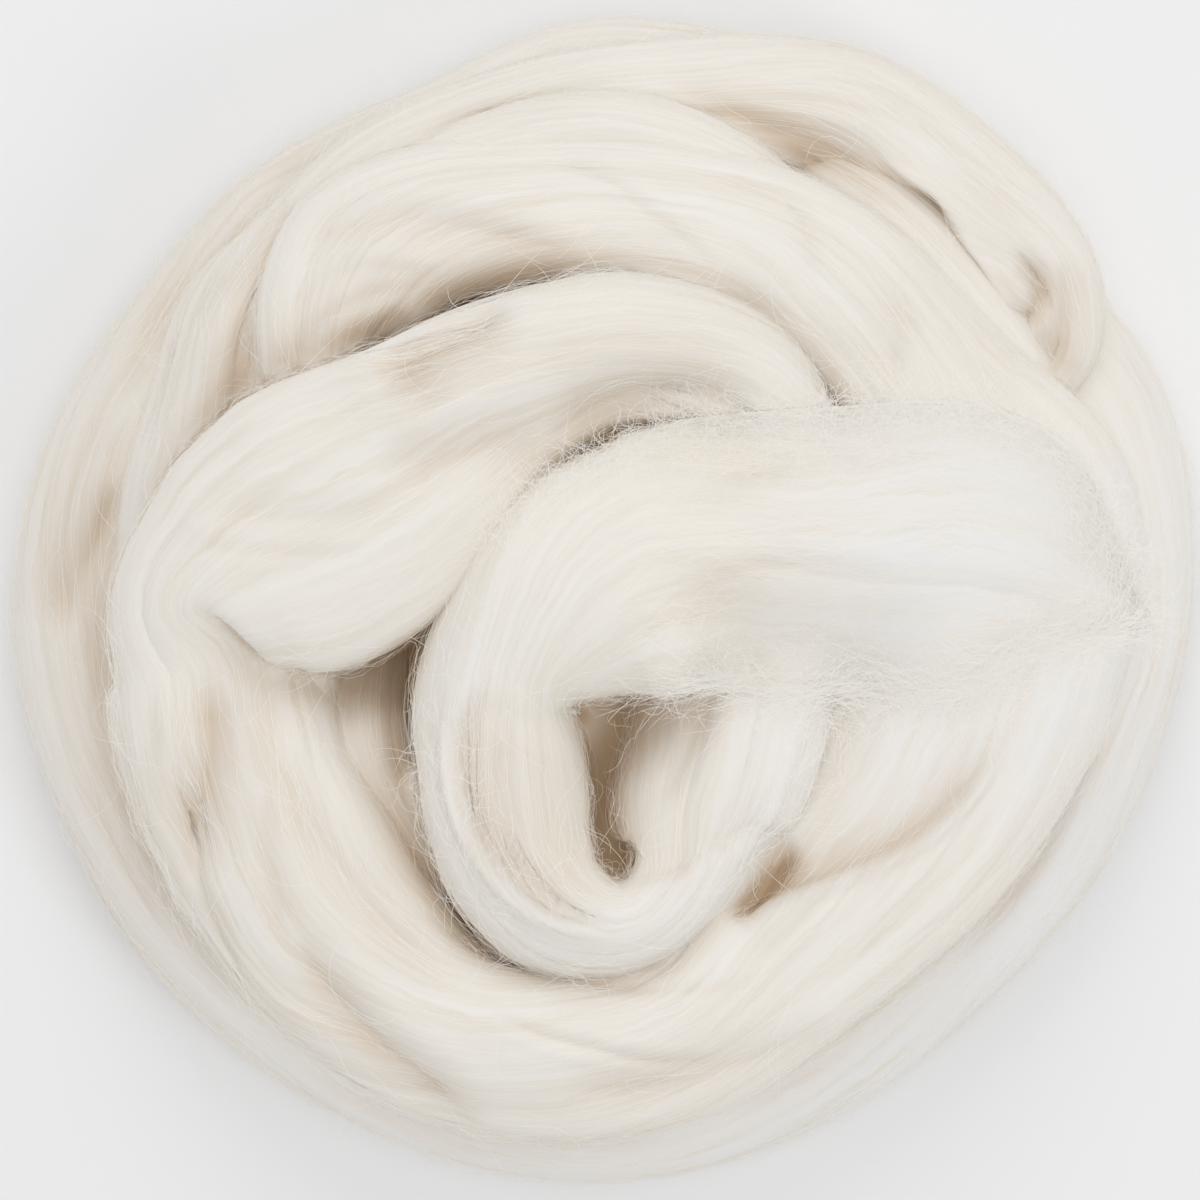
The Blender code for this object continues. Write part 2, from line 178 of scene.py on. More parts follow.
# Out of sight inside the outer turn, from the left side by the front to the back.
LOWER_OUTER = stations(
    (-84, -20, 28, 0.79, 1.11), (-70, -50, 27, 0.84, 1.11), (-44, -76, 27, 0.84, 1.11),
    (-6, -87, 27, 0.84, 1.11), (32, -80, 27, 0.84, 1.11), (62, -58, 27, 0.84, 1.11),
    (82, -30, 27, 0.84, 1.11), (90, 2, 27, 0.84, 1.11), (86, 32, 27, 0.8, 1.11),
    (74, 54, 27, 0.74, 1.11), (57, 71, 27, 0.66, 1.11), (40, 83, 26, 0.5))

# The strand's inner edge where it doubles back at the left: it is folded in under the S bend and
# comes out again beside the front turn.
FOLD = stations(
    (-58, 8, 40, 0.55, 0.8), (-63, -8, 46, 0.62, 0.85), (-65, -22, 48, 0.65, 0.9, -6),
    (-63, -38, 48, 0.65, 0.9, -6), (-55, -54, 47, 0.6, 0.9), (-42, -68, 45, 0.5, 0.85))

# The outer turn keeps to the nest's edge, so its rows hold an angle, how far out the turn reaches
# there, and its width.  It comes out from under the second turn at the back and goes in under it
# again.
OUTER_TURN = (
    (42, 96, 0.6), (57, 109, 0.8), (72, 116, 0.89), (90, 117, 0.95), (108, 110, 0.95),
    (128, 111, 0.97), (148, 112, 1), (166, 116, 1), (184, 118.5, 1), (204, 119, 0.97),
    (222, 118.5, 0.95), (242, 117, 0.95), (262, 118, 0.95), (278, 118, 0.95), (294, 115.5, 0.95),
    (310, 112.5, 0.95), (328, 114, 0.95), (346, 116, 0.97), (362, 119, 1), (378, 121, 1),
    (392, 117, 0.95), (404, 111, 0.84), (418, 105, 0.7), (432, 98, 0.5))

# The loose end, from its tip to the ring that it grows out of.  There it is as deep as the strand
# and it thins towards the tip, where its fibres part.
LOOSE_END = stations(
    (111, -4, 29, 0.03, 0.05), (105.5, -2.5, 35, 0.22, 0.08), (99.5, 0.5, 42, 0.52, 0.14),
    (92, 4, 47.5, 0.94, 0.2), (84, 7, 51.5, 1.32, 0.27), (75, 8.6, 55, 1.5, 0.34),
    (65, 9, 58, 1.55, 0.42), (55, 9, 61, 1.53, 0.52), (45.5, 9.2, 63.5, 1.49, 0.62),
    (36, 9.4, 65.5, 1.48, 0.72), (27, 9.2, 66.5, 1.42, 0.8), (18, 8.2, 67, 1.4, 0.86))


print("rows:", [len(table) for table in (LOWER_FRONT, SECOND_TURN, LOWER_OUTER, FOLD, OUTER_TURN,
                                         LOOSE_END)])

# %% Turns that reach down to the surface
def grounded(x, y, top, wide):
    """A station of a turn that fills the room from its crest down to the surface."""
    return Station(x, y, top, wide, (top + GROUND_SINK) / STRAND_DEPTH)


def outer_stations():
    """The outer turn's reach turned into stations, like the other turns'."""
    found = []
    for angle, radius, wide in OUTER_TURN:
        middle = radius - wide * STRAND_WIDTH / 2
        turn = math.radians(angle)
        found.append(grounded(middle * math.cos(turn), middle * math.sin(turn), OUTER_TOP, wide))
    return found


def lowered(table):
    """The same way, a layer lower."""
    return [grounded(row.x, row.y, row.top - LAYER_DROP, row.wide) for row in table]


print("depth of the outer turn, in strands:", round(outer_stations()[0].deep, 2))

# %% [markdown]
# ## Curves and sections
#
# The curve through a table is a Catmull-Rom spline, which passes through every row.  It is read at
# even steps.  Across the strand stands a closed section, a squarish oval.  Most of its points lie
# on the upper side, because that is where the fine folds will show.

# %% A curve through a table
CURVE_STEPS = 12           # points read between two rows of a table


def curve(rows):
    """Rows read closely from a smooth curve through a table, and the way travelled to each."""
    keys = np.array([tuple(row) for row in rows], dtype=float)
    padded = np.vstack([2 * keys[0] - keys[1], keys, 2 * keys[-1] - keys[-2]])
    fine = []
    for before, start, end, after in zip(padded, padded[1:], padded[2:], padded[3:]):
        for t in np.linspace(0.0, 1.0, CURVE_STEPS, endpoint=False):
            fine.append(0.5 * (2 * start + (end - before) * t
                               + (2 * before - 5 * start + 4 * end - after) * t ** 2
                               + (3 * start - 3 * end + after - before) * t ** 3))
    fine = np.array(fine + [keys[-1]])
    return fine, np.concatenate([[0.0], np.cumsum(np.hypot(*np.diff(fine[:, :2], axis=0).T))])


def smooth(rows, step):
    """Rows read from the curve a given distance apart, and the way travelled to each."""
    fine, travelled = curve(rows)
    count = max(int(round(travelled[-1] / step)), 2)
    at = np.linspace(0.0, travelled[-1], count + 1)
    return np.column_stack([np.interp(at, travelled, column) for column in fine.T]), at


def left_of(path):
    """Level unit vectors to the left of a path, one for each of its points."""
    ahead = np.gradient(path[:, :2], axis=0)
    ahead /= np.linalg.norm(ahead, axis=1)[:, None]
    return np.column_stack([-ahead[:, 1], ahead[:, 0]])


print("strand from the ring to the back turn, mm:",
      round(sum(curve(table)[1][-1] for table in (INNER_RING, S_BEND, FRONT_TURN, BACK_TURN))))

# %% Sweep a section along a curve
SECTION_POWER = 2.3        # 2 gives an oval, and a higher one is squarer
UPPER_SPAN = (-30, 210)    # the section's upper side, in degrees
UPPER_SHARE = 0.8          # share of the section's points that lie there
FLATTEST = 0.0004          # keeps an end from closing to a single point
FIBRE_GIRTH = 110.0        # the way round the plain strand, in mm: folds are measured along this


def section_angles(count):
    """Angles round a section, most of them on its upper two thirds."""
    upper = int(count * UPPER_SHARE)
    start, end = map(math.radians, UPPER_SPAN)
    over = np.linspace(start, end, upper, endpoint=False)
    under = np.linspace(end, start + 2 * math.pi, count - upper, endpoint=False)
    return np.concatenate([over, under])


def round_ends(along, length, first, last):
    """Shares by which the section shrinks towards each end, so that an end is round."""
    share = np.ones_like(along)
    for distance, reach in ((along, first), (length - along, last)):
        if reach:
            near = np.clip(1 - distance / reach, 0, 1)
            share *= np.sqrt(np.maximum(1 - near ** 2, FLATTEST))
    return share


def sweep_grid(table, step, count, tips=(0, 0)):
    """The strand's plain surface as a grid of points, rows along it and columns round it."""
    path, along = smooth(table, step)
    left = left_of(path)
    angle = section_angles(count)
    power = 2.0 / SECTION_POWER
    across = np.sign(np.cos(angle)) * np.abs(np.cos(angle)) ** power
    up = np.sign(np.sin(angle)) * np.abs(np.sin(angle)) ** power
    shrink = round_ends(along, along[-1], *tips)
    x, y, top, wide, deep, roll = path.T
    half_width = wide * STRAND_WIDTH / 2
    half_depth = deep * STRAND_DEPTH / 2
    middle = top - half_depth
    a = (half_width * shrink)[:, None] * across[None, :]
    b = (half_depth * shrink)[:, None] * up[None, :]
    lean = np.radians(roll)[:, None]
    level = a * np.cos(lean) - b * np.sin(lean)
    height = a * np.sin(lean) + b * np.cos(lean) + middle[:, None]
    points = np.stack([x[:, None] + left[:, :1] * level, y[:, None] + left[:, 1:] * level, height],
                      axis=-1)
    rounds = np.stack([across * STRAND_WIDTH / 2, up * STRAND_DEPTH / 2], axis=-1)
    steps = np.linalg.norm(np.roll(rounds, -1, axis=0) - rounds, axis=1)
    girth = np.concatenate([[0.0], np.cumsum(steps)[:-1]])
    girth *= FIBRE_GIRTH / steps.sum()
    return points, along, girth


print("rows, columns and axes of a plain grid:", sweep_grid(S_BEND, 5.0, 60)[0].shape)

# %% [markdown]
# ## Folds in the fibre
#
# Combed wool lies in locks.  Each lock is a long, low, rounded ridge, and between two locks is a
# fine valley.  Noise gives that form if it is stretched far along the strand and its absolute
# value is taken: the zero crossings become the valleys.  Three sizes are laid over each other, and
# every point moves along the surface's normal.
#
# The fibres keep only roughly to the strand's way.  They drift to one side and back, so each point
# of a grid also knows its lane, the place round the strand of the fibre that passes there.  Locks,
# streaks and single fibres are all read along the lanes, and so they agree with each other.

# %% Smooth noise
GRAIN_SIZE = 256           # the table of random numbers has so many each way
GRAIN = np.random.default_rng(7).random((GRAIN_SIZE, GRAIN_SIZE))


def ease(share):
    """A share from 0 to 1 that starts and ends gently."""
    return share * share * (3 - 2 * share)


def ramp(value, span):
    """0 up to zero, 1 from the span on, and a straight rise between them."""
    return np.clip(value / span, 0, 1)


def wander(u, v, seed=0):
    """Smooth noise between -1 and 1, from a fixed table of random numbers."""
    u = u + 37.3 * seed
    v = v + 11.7 * seed
    iu, iv = np.floor(u).astype(int), np.floor(v).astype(int)
    fu, fv = ease(u - iu), ease(v - iv)
    iu, iv, ju, jv = iu % GRAIN_SIZE, iv % GRAIN_SIZE, (iu + 1) % GRAIN_SIZE, (iv + 1) % GRAIN_SIZE
    low = GRAIN[iu, iv] * (1 - fu) + GRAIN[ju, iv] * fu
    high = GRAIN[iu, jv] * (1 - fu) + GRAIN[ju, jv] * fu
    return 2 * (low * (1 - fv) + high * fv) - 1


def locks(u, v, seed):
    """Rounded ridges with fine valleys between them, from 0 in a valley to about 1."""
    return np.sqrt(np.abs(wander(u, v, seed)))


trial = wander(np.arange(0, 50, 0.37), np.arange(0, 50, 0.37))
print("noise, least and most:", round(float(trial.min()), 2), round(float(trial.max()), 2))

# %% Lanes and locks
VALLEY = 0.6               # what locks are lowered by, to raise the surface as much as sink it
LOCK_FADE = 6.0            # over this length an end loses its locks, in mm
# Height in mm, then length along and width round the strand in mm, then the noise's seed.
DRIFTS = ((9.0, 80, 60, 3), (3.0, 30, 34, 6))
SWELL = (1.8, 60, 24, 0)
LOCKS = ((1.3, 150, 13, 1), (0.3, 90, 4.6, 2), (0.06, 60, 1.7, 4))


def normals_of(points):
    """Unit normals of a grid that is closed round its columns, pointing out."""
    along = np.gradient(points, axis=0)
    across = np.roll(points, -1, axis=1) - np.roll(points, 1, axis=1)
    normal = np.cross(across, along)
    normal /= np.maximum(np.linalg.norm(normal, axis=2), 1e-9)[..., None]
    return normal


def fibre_lanes(along, girth, seed, slant=0.0):
    """Which fibre passes each point of a grid, in mm round the strand.  The fibres drift across it.
    The last column stands for the first one, once round."""
    s, g = along[:, None], np.append(girth, FIBRE_GIRTH)[None, :]
    lanes = g + slant * s
    for reach, length, width, number in DRIFTS:
        lanes = lanes + reach * wander(s / length, g / width, seed + number)
    return lanes


def lock_heights(along, lanes, seed):
    """How far each point of a grid stands out, in mm, from locks of three sizes."""
    s, q = along[:, None], lanes[:, :-1]
    height, length, width, number = SWELL
    heights = height * wander(s / length, q / width, seed + number)
    for height, length, width, number in LOCKS:
        heights = heights + height * (locks(s / length, q / width, seed + number) - VALLEY)
    return heights * ramp(np.minimum(s, along[-1] - s), LOCK_FADE)


def fold_fibres(points, heights):
    """The grid with every point moved out along the surface's normal."""
    return points + normals_of(points) * heights[..., None]


print("widths of the locks, mm:", [width for _, _, width, _ in LOCKS])

# %% [markdown]
# ## Creases
#
# Some creases are the wool's own habit and some come from the hand that wound it.  Those the eye
# remembers are placed one by one, as a few points seen from above, with a depth and a width.
# Every point of a turn that lies near such a line is pressed in, less where the surface stands
# steep, and the wool bulges a little beside it.  A crease also gets painted shade: its colour is
# made warmer and darker near its line, standing in for the shade that falls into it.

# %% Creases of the turns on top
# A crease with a soft side is the edge of a fold: it is wide on the left of its way, where the wool
# comes up slowly again, and narrow on the right, where the fold's edge stands.
Crease = namedtuple("Crease", "depth width way soft", defaults=(None,))

RING_CREASES = [
    Crease(3.8, 1.3, [(-22, -17), (-27, -25), (-27.5, -33), (-25, -43), (-18.5, -54), (-9, -61),
                      (2, -63)], 9.0),
    Crease(1.4, 1.2, [(5, -55), (13, -53.5), (22, -50), (30, -45), (34, -37)], 5.0),
    Crease(1.4, 4.0, [(12, -2), (24, 4), (36, 6), (50, 5)]),
    Crease(0.8, 2.0, [(12, -40), (17, -30), (22, -20)]),
    Crease(0.6, 1.4, [(-17, -24), (-18, -36), (-14, -48)]),
]
BEND_CREASES = [
    Crease(2.6, 1.5, [(-10, 31), (-2, 36), (6, 39), (14, 40.5), (22, 40), (30, 37)], 7.0),
    Crease(4.2, 5.5, [(-46, 45), (-37, 49), (-28, 52.5), (-18, 58)]),
    Crease(2.0, 5.0, [(-44, 24), (-30, 28), (-17, 30), (-8, 35)]),
    Crease(1.0, 3.0, [(-80, 19), (-62, 16), (-48, 17), (-38, 20)]),
    Crease(0.7, 1.5, [(-84, 11), (-72, 10), (-58, 9), (-46, 9)]),
    Crease(1.4, 4.0, [(-42, 47), (-36, 42), (-30, 38)]),
]
FRONT_CREASES = [
    Crease(4.0, 3.6, [(-76, -10), (-77.5, -20), (-77, -29), (-79.5, -37), (-82, -46),
                      (-82, -56)], 6.5),
    Crease(1.2, 6.0, [(-88, -8), (-88, -20), (-88, -34), (-84, -48)]),
    Crease(1.8, 2.0, [(-80, -46), (-80, -56), (-76, -68), (-70, -80)]),
    Crease(1.2, 2.6, [(-65, -38), (-66.5, -50), (-65, -60), (-62, -68)]),
    Crease(3.4, 3.6, [(-60, -66), (-56, -76), (-51, -82), (-46, -88), (-34, -98), (-24, -106)]),
    Crease(1.8, 4.0, [(-60, -30), (-58, -42), (-50, -54), (-40, -66), (-28, -74)]),
    Crease(1.0, 1.2, [(-24, -80), (-12, -86), (0, -89), (12, -91.6), (28, -92)]),
    Crease(1.8, 4.0, [(-8, -98), (10, -97), (30, -92), (46, -84)]),
    Crease(0.7, 1.0, [(-8, -75), (8, -77), (32, -77)]),
    Crease(3.2, 1.1, [(26, -60), (36, -57), (46, -54), (60, -48), (70, -40), (80, -27)], 5.0),
    Crease(6.0, 3.2, [(25, -63), (30, -58), (34, -54), (38, -48)]),
]
BACK_CREASES = [
    Crease(0.9, 1.0, [(-9, 87), (2, 83), (10, 76), (18, 70), (23, 65)]),
    Crease(0.9, 1.0, [(20, 84), (32, 81), (38, 78), (41, 72), (42, 62)]),
    Crease(1.6, 2.4, [(-4, 68), (-16, 71), (-28, 74), (-40, 75.5), (-54, 73), (-62, 68)], 6.0),
    Crease(0.8, 1.0, [(-30, 63), (-42, 66), (-52, 65), (-59, 60), (-63, 52)], 5.0),
    Crease(0.8, 1.6, [(-60, 50), (-54, 56), (-46, 60), (-34, 62)]),
    Crease(1.4, 1.0, [(57, 42), (59, 50), (62, 60)], 5.0),
    Crease(1.0, 5.0, [(57, 69), (66, 60), (75, 49), (84, 36)]),
]
print("creases on top:", sum(map(len, (RING_CREASES, BEND_CREASES, FRONT_CREASES, BACK_CREASES))))

# %% Creases of the outer turns and the loose end
SECOND_CREASES = [
    Crease(4.0, 1.0, [(82, 55), (78, 60), (74, 66), (70, 71), (66, 78), (60, 82), (54, 86)], 5.0),
    Crease(3.2, 1.8, [(79, 53), (83, 55), (86.5, 57.5), (87.8, 61), (86, 65), (82, 69)]),
    Crease(2.2, 4.0, [(84, 46), (91, 50), (94, 58), (92, 68)]),
    Crease(0.8, 1.6, [(30, 100), (52, 98), (68, 92), (80, 84)]),
    Crease(0.7, 1.2, [(40, 106), (56, 102), (72, 94)]),
    Crease(2.2, 4.5, [(10, 99), (24, 96), (38, 92), (50, 86), (60, 79)]),
    Crease(1.0, 6.0, [(66, 88), (77, 78), (88, 66), (94, 52)]),
    Crease(1.2, 2.0, [(-34, 94), (-20, 97), (-6, 98), (8, 97)]),
    Crease(1.0, 3.0, [(-92, 30), (-88, 46), (-80, 60), (-68, 71)]),
    Crease(3.0, 1.2, [(-70, 38), (-68, 50), (-66, 60), (-65, 70), (-60, 79)], 6.0),
    Crease(3.0, 1.2, [(-89, 10), (-82, 20), (-76, 30), (-72, 35), (-66, 41)], 6.0),
]
OUTER_CREASES = [
    Crease(3.4, 1.2, [(-89, 36), (-86, 48), (-83, 58), (-78, 65), (-70, 72), (-62, 77), (-52, 84),
                      (-40, 90)], 7.0),
    Crease(2.2, 1.0, [(-71, -79), (-87, -53), (-95.5, -33.5), (-97, -11), (-97, 10), (-90, 38)], 9.0),
    Crease(2.2, 1.2, [(101, 30), (105, 23), (106.4, 15), (104.4, 6)]),
    Crease(1.8, 1.6, [(-14, 110), (-4, 107.5), (8, 107), (20, 109), (28, 112)]),
    Crease(1.4, 2.4, [(-108, -10), (-110, 8), (-106, 26), (-98, 44)]),
    Crease(2.4, 4.0, [(-96, 24), (-101, 14), (-106, 5), (-110, -6)]),
    Crease(1.0, 1.6, [(-104, -36), (-98, -52), (-88, -68)]),
    Crease(1.8, 3.0, [(-70, 84), (-60, 90), (-49, 93), (-38, 92)]),
    Crease(1.2, 2.0, [(-84, 66), (-92, 52), (-98, 38)]),
    Crease(1.2, 1.6, [(100, -10), (96, -34), (86, -54), (70, -72)]),
    Crease(1.2, 1.6, [(-60, -94), (-36, -106), (-8, -110), (20, -108)]),
]
LOOSE_CREASES = [
    Crease(1.3, 4.5, [(12, -2), (24, 3.5), (34, 6.5), (46, 6.5), (56, 4)]),
    Crease(0.6, 3.0, [(78, 2), (88, -2), (94, -6)]),
    Crease(0.4, 3.0, [(40, 15), (54, 16), (66, 15)]),
    Crease(1.0, 2.4, [(20, 23), (34, 27), (52, 29), (70, 27)]),
]
print("other creases:", sum(map(len, (SECOND_CREASES, OUTER_CREASES, LOOSE_CREASES))))

# %% Press creases into a grid
CREASE_STEP = 2.0          # a crease's line is read so often, in mm
CREASE_ENDS = 0.22         # over this share of its length a crease reaches its depth
CREASE_STEEP = 0.12        # where a normal points up less than this there is no crease
CREASE_FLATTER = 0.4       # and it has its depth where the normal points up by so much more
CREASE_SHADE = 0.13         # how much painted shade a crease 1 mm deep gets
CREASE_DEEPEST = 4.0       # deeper creases get no more painted shade, in mm
LIP_AWAY = 2.2             # how far off a crease the wool bulges, in widths
LIP, SOFT_LIP = 0.22, 0.35     # how much it bulges there, as a share of the crease's depth


def press_creases(points, creases):
    """Presses each crease into the upward side of a grid of points.  Gives the grid, and for each
    point how much painted shade the crease puts on the wool there."""
    normal = normals_of(points)
    flat = points[..., :2].reshape(-1, 2)
    facing = normal[..., 2].ravel()
    sink, tint = np.zeros(len(flat)), np.zeros(len(flat))
    for crease in creases:
        line, _ = smooth(crease.way, CREASE_STEP)
        margin = 3 * max(crease.width, crease.soft or 0) + 2
        low, high = line.min(axis=0) - margin, line.max(axis=0) + margin
        near = np.flatnonzero((facing > CREASE_STEEP) & (flat > low).all(axis=1)
                              & (flat < high).all(axis=1))
        if not len(near):
            continue
        start, span = line[:-1], np.diff(line, axis=0)
        apart = flat[near][:, None, :] - start[None]
        share = np.clip((apart * span).sum(-1) / (span ** 2).sum(-1), 0, 1)
        gap = np.linalg.norm(apart - share[..., None] * span, axis=-1)
        closest = gap.argmin(axis=1)
        rows = np.arange(len(near))
        turned = span[closest, 0] * apart[rows, closest, 1] - span[closest, 1] * apart[rows, closest, 0]
        gap, share = gap[rows, closest], share[rows, closest]
        way = (closest + share) / len(span)
        fade = ramp(np.minimum(way, 1 - way), CREASE_ENDS) ** 0.8
        fade *= ramp(facing[near] - CREASE_STEEP, CREASE_FLATTER)
        on_soft_side = (turned > 0) & bool(crease.soft)
        width = np.where(on_soft_side, crease.soft or crease.width, crease.width)
        trough = np.exp(-(gap / width) ** 1.5)
        lip = np.exp(-((gap - LIP_AWAY * width) / width) ** 2)
        lip *= np.where(on_soft_side, 0.0, SOFT_LIP if crease.soft else LIP)
        sink[near] += crease.depth * fade * (lip - trough)
        # painted shade: the crease makes the wool's colour warmer and darker near its line
        shade_strength = CREASE_SHADE * min(crease.depth, CREASE_DEEPEST)
        tint[near] += shade_strength * fade * np.exp(-(gap / width))
    shape = points.shape[:2]
    return points + normal * sink.reshape(shape)[..., None], tint.reshape(shape)


print("the longest crease, mm:", round(max(curve(crease.way)[1][-1] for crease in OUTER_CREASES)))

# %% [markdown]
# ## From grids to meshes
#
# A grid becomes a closed tube: quads between its rows, and a fan of triangles at each end.  The
# nest stands on the surface, so no point goes below zero, which presses the lowest turns flat, as
# their own weight does.  Each mesh carries two UV maps.  "Fibre" holds the way along and round the
# strand in metres, for the material.  "OFBake" is a plain unwrapping with no overlap.

# %% Mesh from a grid
BAKE_MARGIN = 0.02         # what the "OFBake" unwrapping leaves free at its edges
Piece = namedtuple("Piece", "obj points along lanes tint")
pieces = {}


def grid_faces(rows, columns):
    """Quads between the rows of a grid that is closed round its columns."""
    r, c = np.meshgrid(np.arange(rows - 1), np.arange(columns), indexing="ij")
    here = r * columns + c
    beside = r * columns + (c + 1) % columns
    quads = np.stack([here, beside, beside + columns, here + columns], axis=-1)
    return quads.reshape(-1, 4)


def mesh_from(name, vertices, quads, triangles, smooth_shading=True):
    """A mesh from numpy arrays of points in mm, quads and triangles."""
    mesh = bpy.data.meshes.new(name)
    corners = np.concatenate([quads.ravel(), triangles.ravel()])
    sizes = np.concatenate([np.full(len(quads), 4), np.full(len(triangles), 3)])
    mesh.vertices.add(len(vertices))
    mesh.vertices.foreach_set("co", (vertices * MM).astype(np.float32).ravel())
    mesh.loops.add(len(corners))
    mesh.loops.foreach_set("vertex_index", corners.astype(np.int32))
    mesh.polygons.add(len(sizes))
    starts = np.concatenate([[0], np.cumsum(sizes)[:-1]])
    mesh.polygons.foreach_set("loop_start", starts.astype(np.int32))
    mesh.polygons.foreach_set("loop_total", sizes.astype(np.int32))
    mesh.update(calc_edges=True)
    mesh.validate()
    if smooth_shading:
        mesh.shade_smooth()
    else:
        mesh.shade_flat()
    return mesh


def link_object(name, mesh):
    """An object for some data, linked to the scene."""
    obj = bpy.data.objects.new(name, mesh)
    bpy.context.collection.objects.link(obj)
    return obj


print("quads in a tube of 3 rings with 8 points each:", len(grid_faces(3, 8)))

# %% Build a turn
def grid_uv(along, lanes):
    """For every corner of the quads and then of the end fans: the way along and round, in mm."""
    rows, columns = lanes.shape[0], lanes.shape[1] - 1
    row, column = np.divmod(np.arange((rows - 1) * columns), columns)
    u = np.stack([along[row], along[row], along[row + 1], along[row + 1]], -1)
    v = np.stack([lanes[row, column], lanes[row, column + 1],
                  lanes[row + 1, column + 1], lanes[row + 1, column]], -1)
    fan_u = np.stack([np.repeat([along[0], along[-1]], columns)] * 3, -1)
    fan_v = np.stack([np.concatenate([lanes[0, :-1], lanes[-1, :-1]])] * 3, -1)
    return np.concatenate([np.stack([u, v], -1).reshape(-1, 2),
                           np.stack([fan_u, fan_v], -1).reshape(-1, 2)])


def add_tube(name, points, along, lanes, tint, borders=None):
    """Makes the object for one turn.  borders holds its end rows' normals, where a turn joins on."""
    points = points.copy()
    points[..., 2] = np.maximum(points[..., 2], 0.0)
    rows, columns = points.shape[:2]
    quads = grid_faces(rows, columns)
    ends = np.stack([points[0].mean(axis=0), points[-1].mean(axis=0)])
    c = np.arange(columns)
    after = (c + 1) % columns
    first, last, base = rows * columns, rows * columns + 1, (rows - 1) * columns
    fans = np.concatenate([np.stack([after, c, np.full(columns, first)], axis=-1),
                           np.stack([base + c, base + after, np.full(columns, last)], axis=-1)])
    mesh = mesh_from(name, np.concatenate([points.reshape(-1, 3), ends]), quads, fans)
    fibre = grid_uv(along, lanes)
    plain_lanes = np.broadcast_to(np.linspace(0, 1, columns + 1), lanes.shape)
    packed = grid_uv((along - along[0]) / (along[-1] - along[0]), plain_lanes)
    packed = packed * (1 - 2 * BAKE_MARGIN) + BAKE_MARGIN
    packed[4 * len(quads):] = BAKE_MARGIN / 4
    for layer, values in (("Fibre", fibre * MM), ("OFBake", packed)):
        uv = mesh.uv_layers.new(name=layer)
        uv.data.foreach_set("uv", values.astype(np.float32).ravel())
    mesh.uv_layers.active = mesh.uv_layers["Fibre"]
    if borders is not None:
        normals = np.zeros((len(mesh.vertices), 3))
        normals[:columns], normals[base:base + columns] = borders
        mesh.normals_split_custom_set_from_vertices(normals)
    pieces[name] = Piece(link_object(name, mesh), points, along, lanes, tint)
    print(name, "rows", rows, "columns", columns, "triangles", 2 * len(quads) + len(fans))


def add_turn(name, table, creases, step, columns, seed, slant=0.0, swell=1.0, tips=(0, 0)):
    """One turn on its own, with its locks and its creases."""
    points, along, girth = sweep_grid(table, step, columns, tips)
    lanes = fibre_lanes(along, girth, seed, slant)
    points = fold_fibres(points, swell * lock_heights(along, lanes, seed))
    points, tint = press_creases(points, creases)
    add_tube(name, points, along, lanes, tint)


add_turn("outer_turn", outer_stations(), OUTER_CREASES, 2.5, 170, seed=1, slant=0.06,
         tips=(10, 10))
add_turn("second_turn", SECOND_TURN, SECOND_CREASES, 2.1, 210, seed=5, slant=0.05, tips=(10, 0))

# %% [markdown]
# ## The turns on top
#
# The loose end, the ring round the pit, the S bend, the front turn and the back turn are one
# stretch of strand without a break, so they are swept as one grid.  Only then is the grid cut into
# pieces, at rows that both neighbours share.  Both also share the normals there, and the creases
# fade out towards the border, so no seam shows.

# %% Sweep the upper strand
UPPER = [("loose_layer", LOOSE_END, LOOSE_CREASES), ("inner_ring", INNER_RING, RING_CREASES),
         ("s_bend", S_BEND, BEND_CREASES), ("front_turn", FRONT_TURN, FRONT_CREASES),
         ("back_turn", BACK_TURN + LOWER_FRONT[:1], BACK_CREASES)]
UPPER_ROWS = [row for _, table, _ in UPPER for row in table]
UPPER_STEP = 2.1           # from row to row, in mm
UPPER_COLUMNS = 300        # points round the strand


def sweep_upper():
    """The upper strand's plain grid, and the row at which each of its pieces starts."""
    points, along, girth = sweep_grid(UPPER_ROWS, UPPER_STEP, UPPER_COLUMNS, tips=(5, 0))
    _, travelled = curve(UPPER_ROWS)
    starts, count = [], 0
    for _, table, _ in UPPER:
        reach = travelled[count * CURVE_STEPS]
        starts.append(int(np.abs(along - reach).argmin()))
        count += len(table)
    return points, along, girth, starts + [len(along) - 1]


plain, along, girth, cuts = sweep_upper()
upper_lanes = fibre_lanes(along, girth, seed=9, slant=0.06)
upper_heights = lock_heights(along, upper_lanes, seed=9)
upper = fold_fibres(plain, upper_heights)
print("rows:", len(along), "length, mm:", round(along[-1]), "cuts:", cuts)

# %% Press and cut the upper strand
BORDER_ROWS = 5            # a piece's creases fade out over so many rows at its borders
upper_crease_shade = np.zeros(upper.shape[:2])
for (name, _, creases), first, last in zip(UPPER[1:], cuts[1:], cuts[2:]):
    pressed, tint = press_creases(upper[first:last + 1], creases)
    rows = np.arange(last + 1 - first)
    inward = ramp(np.minimum(rows, rows[::-1]), BORDER_ROWS)[:, None]
    upper[first:last + 1] += (pressed - upper[first:last + 1]) * inward[..., None]
    upper_crease_shade[first:last + 1] = tint * inward


def add_upper(name, first, last):
    """One piece of the upper strand, from one of its rows to another."""
    rows = slice(first, last + 1)
    normals = normals_of(upper)
    add_tube(name, upper[rows], along[rows], upper_lanes[rows], upper_crease_shade[rows],
             borders=(normals[first], normals[last]))


for (name, _, _), first, last in zip(UPPER[1:], cuts[1:], cuts[2:]):
    add_upper(name, first, last)

# %% [markdown]
# ## Strands that half show
#
# Between the turns a little of other strands shows: the strand folded in at the left, the wool
# that lines the pit and the pockets, a thin lock over the second turn and another beside it.

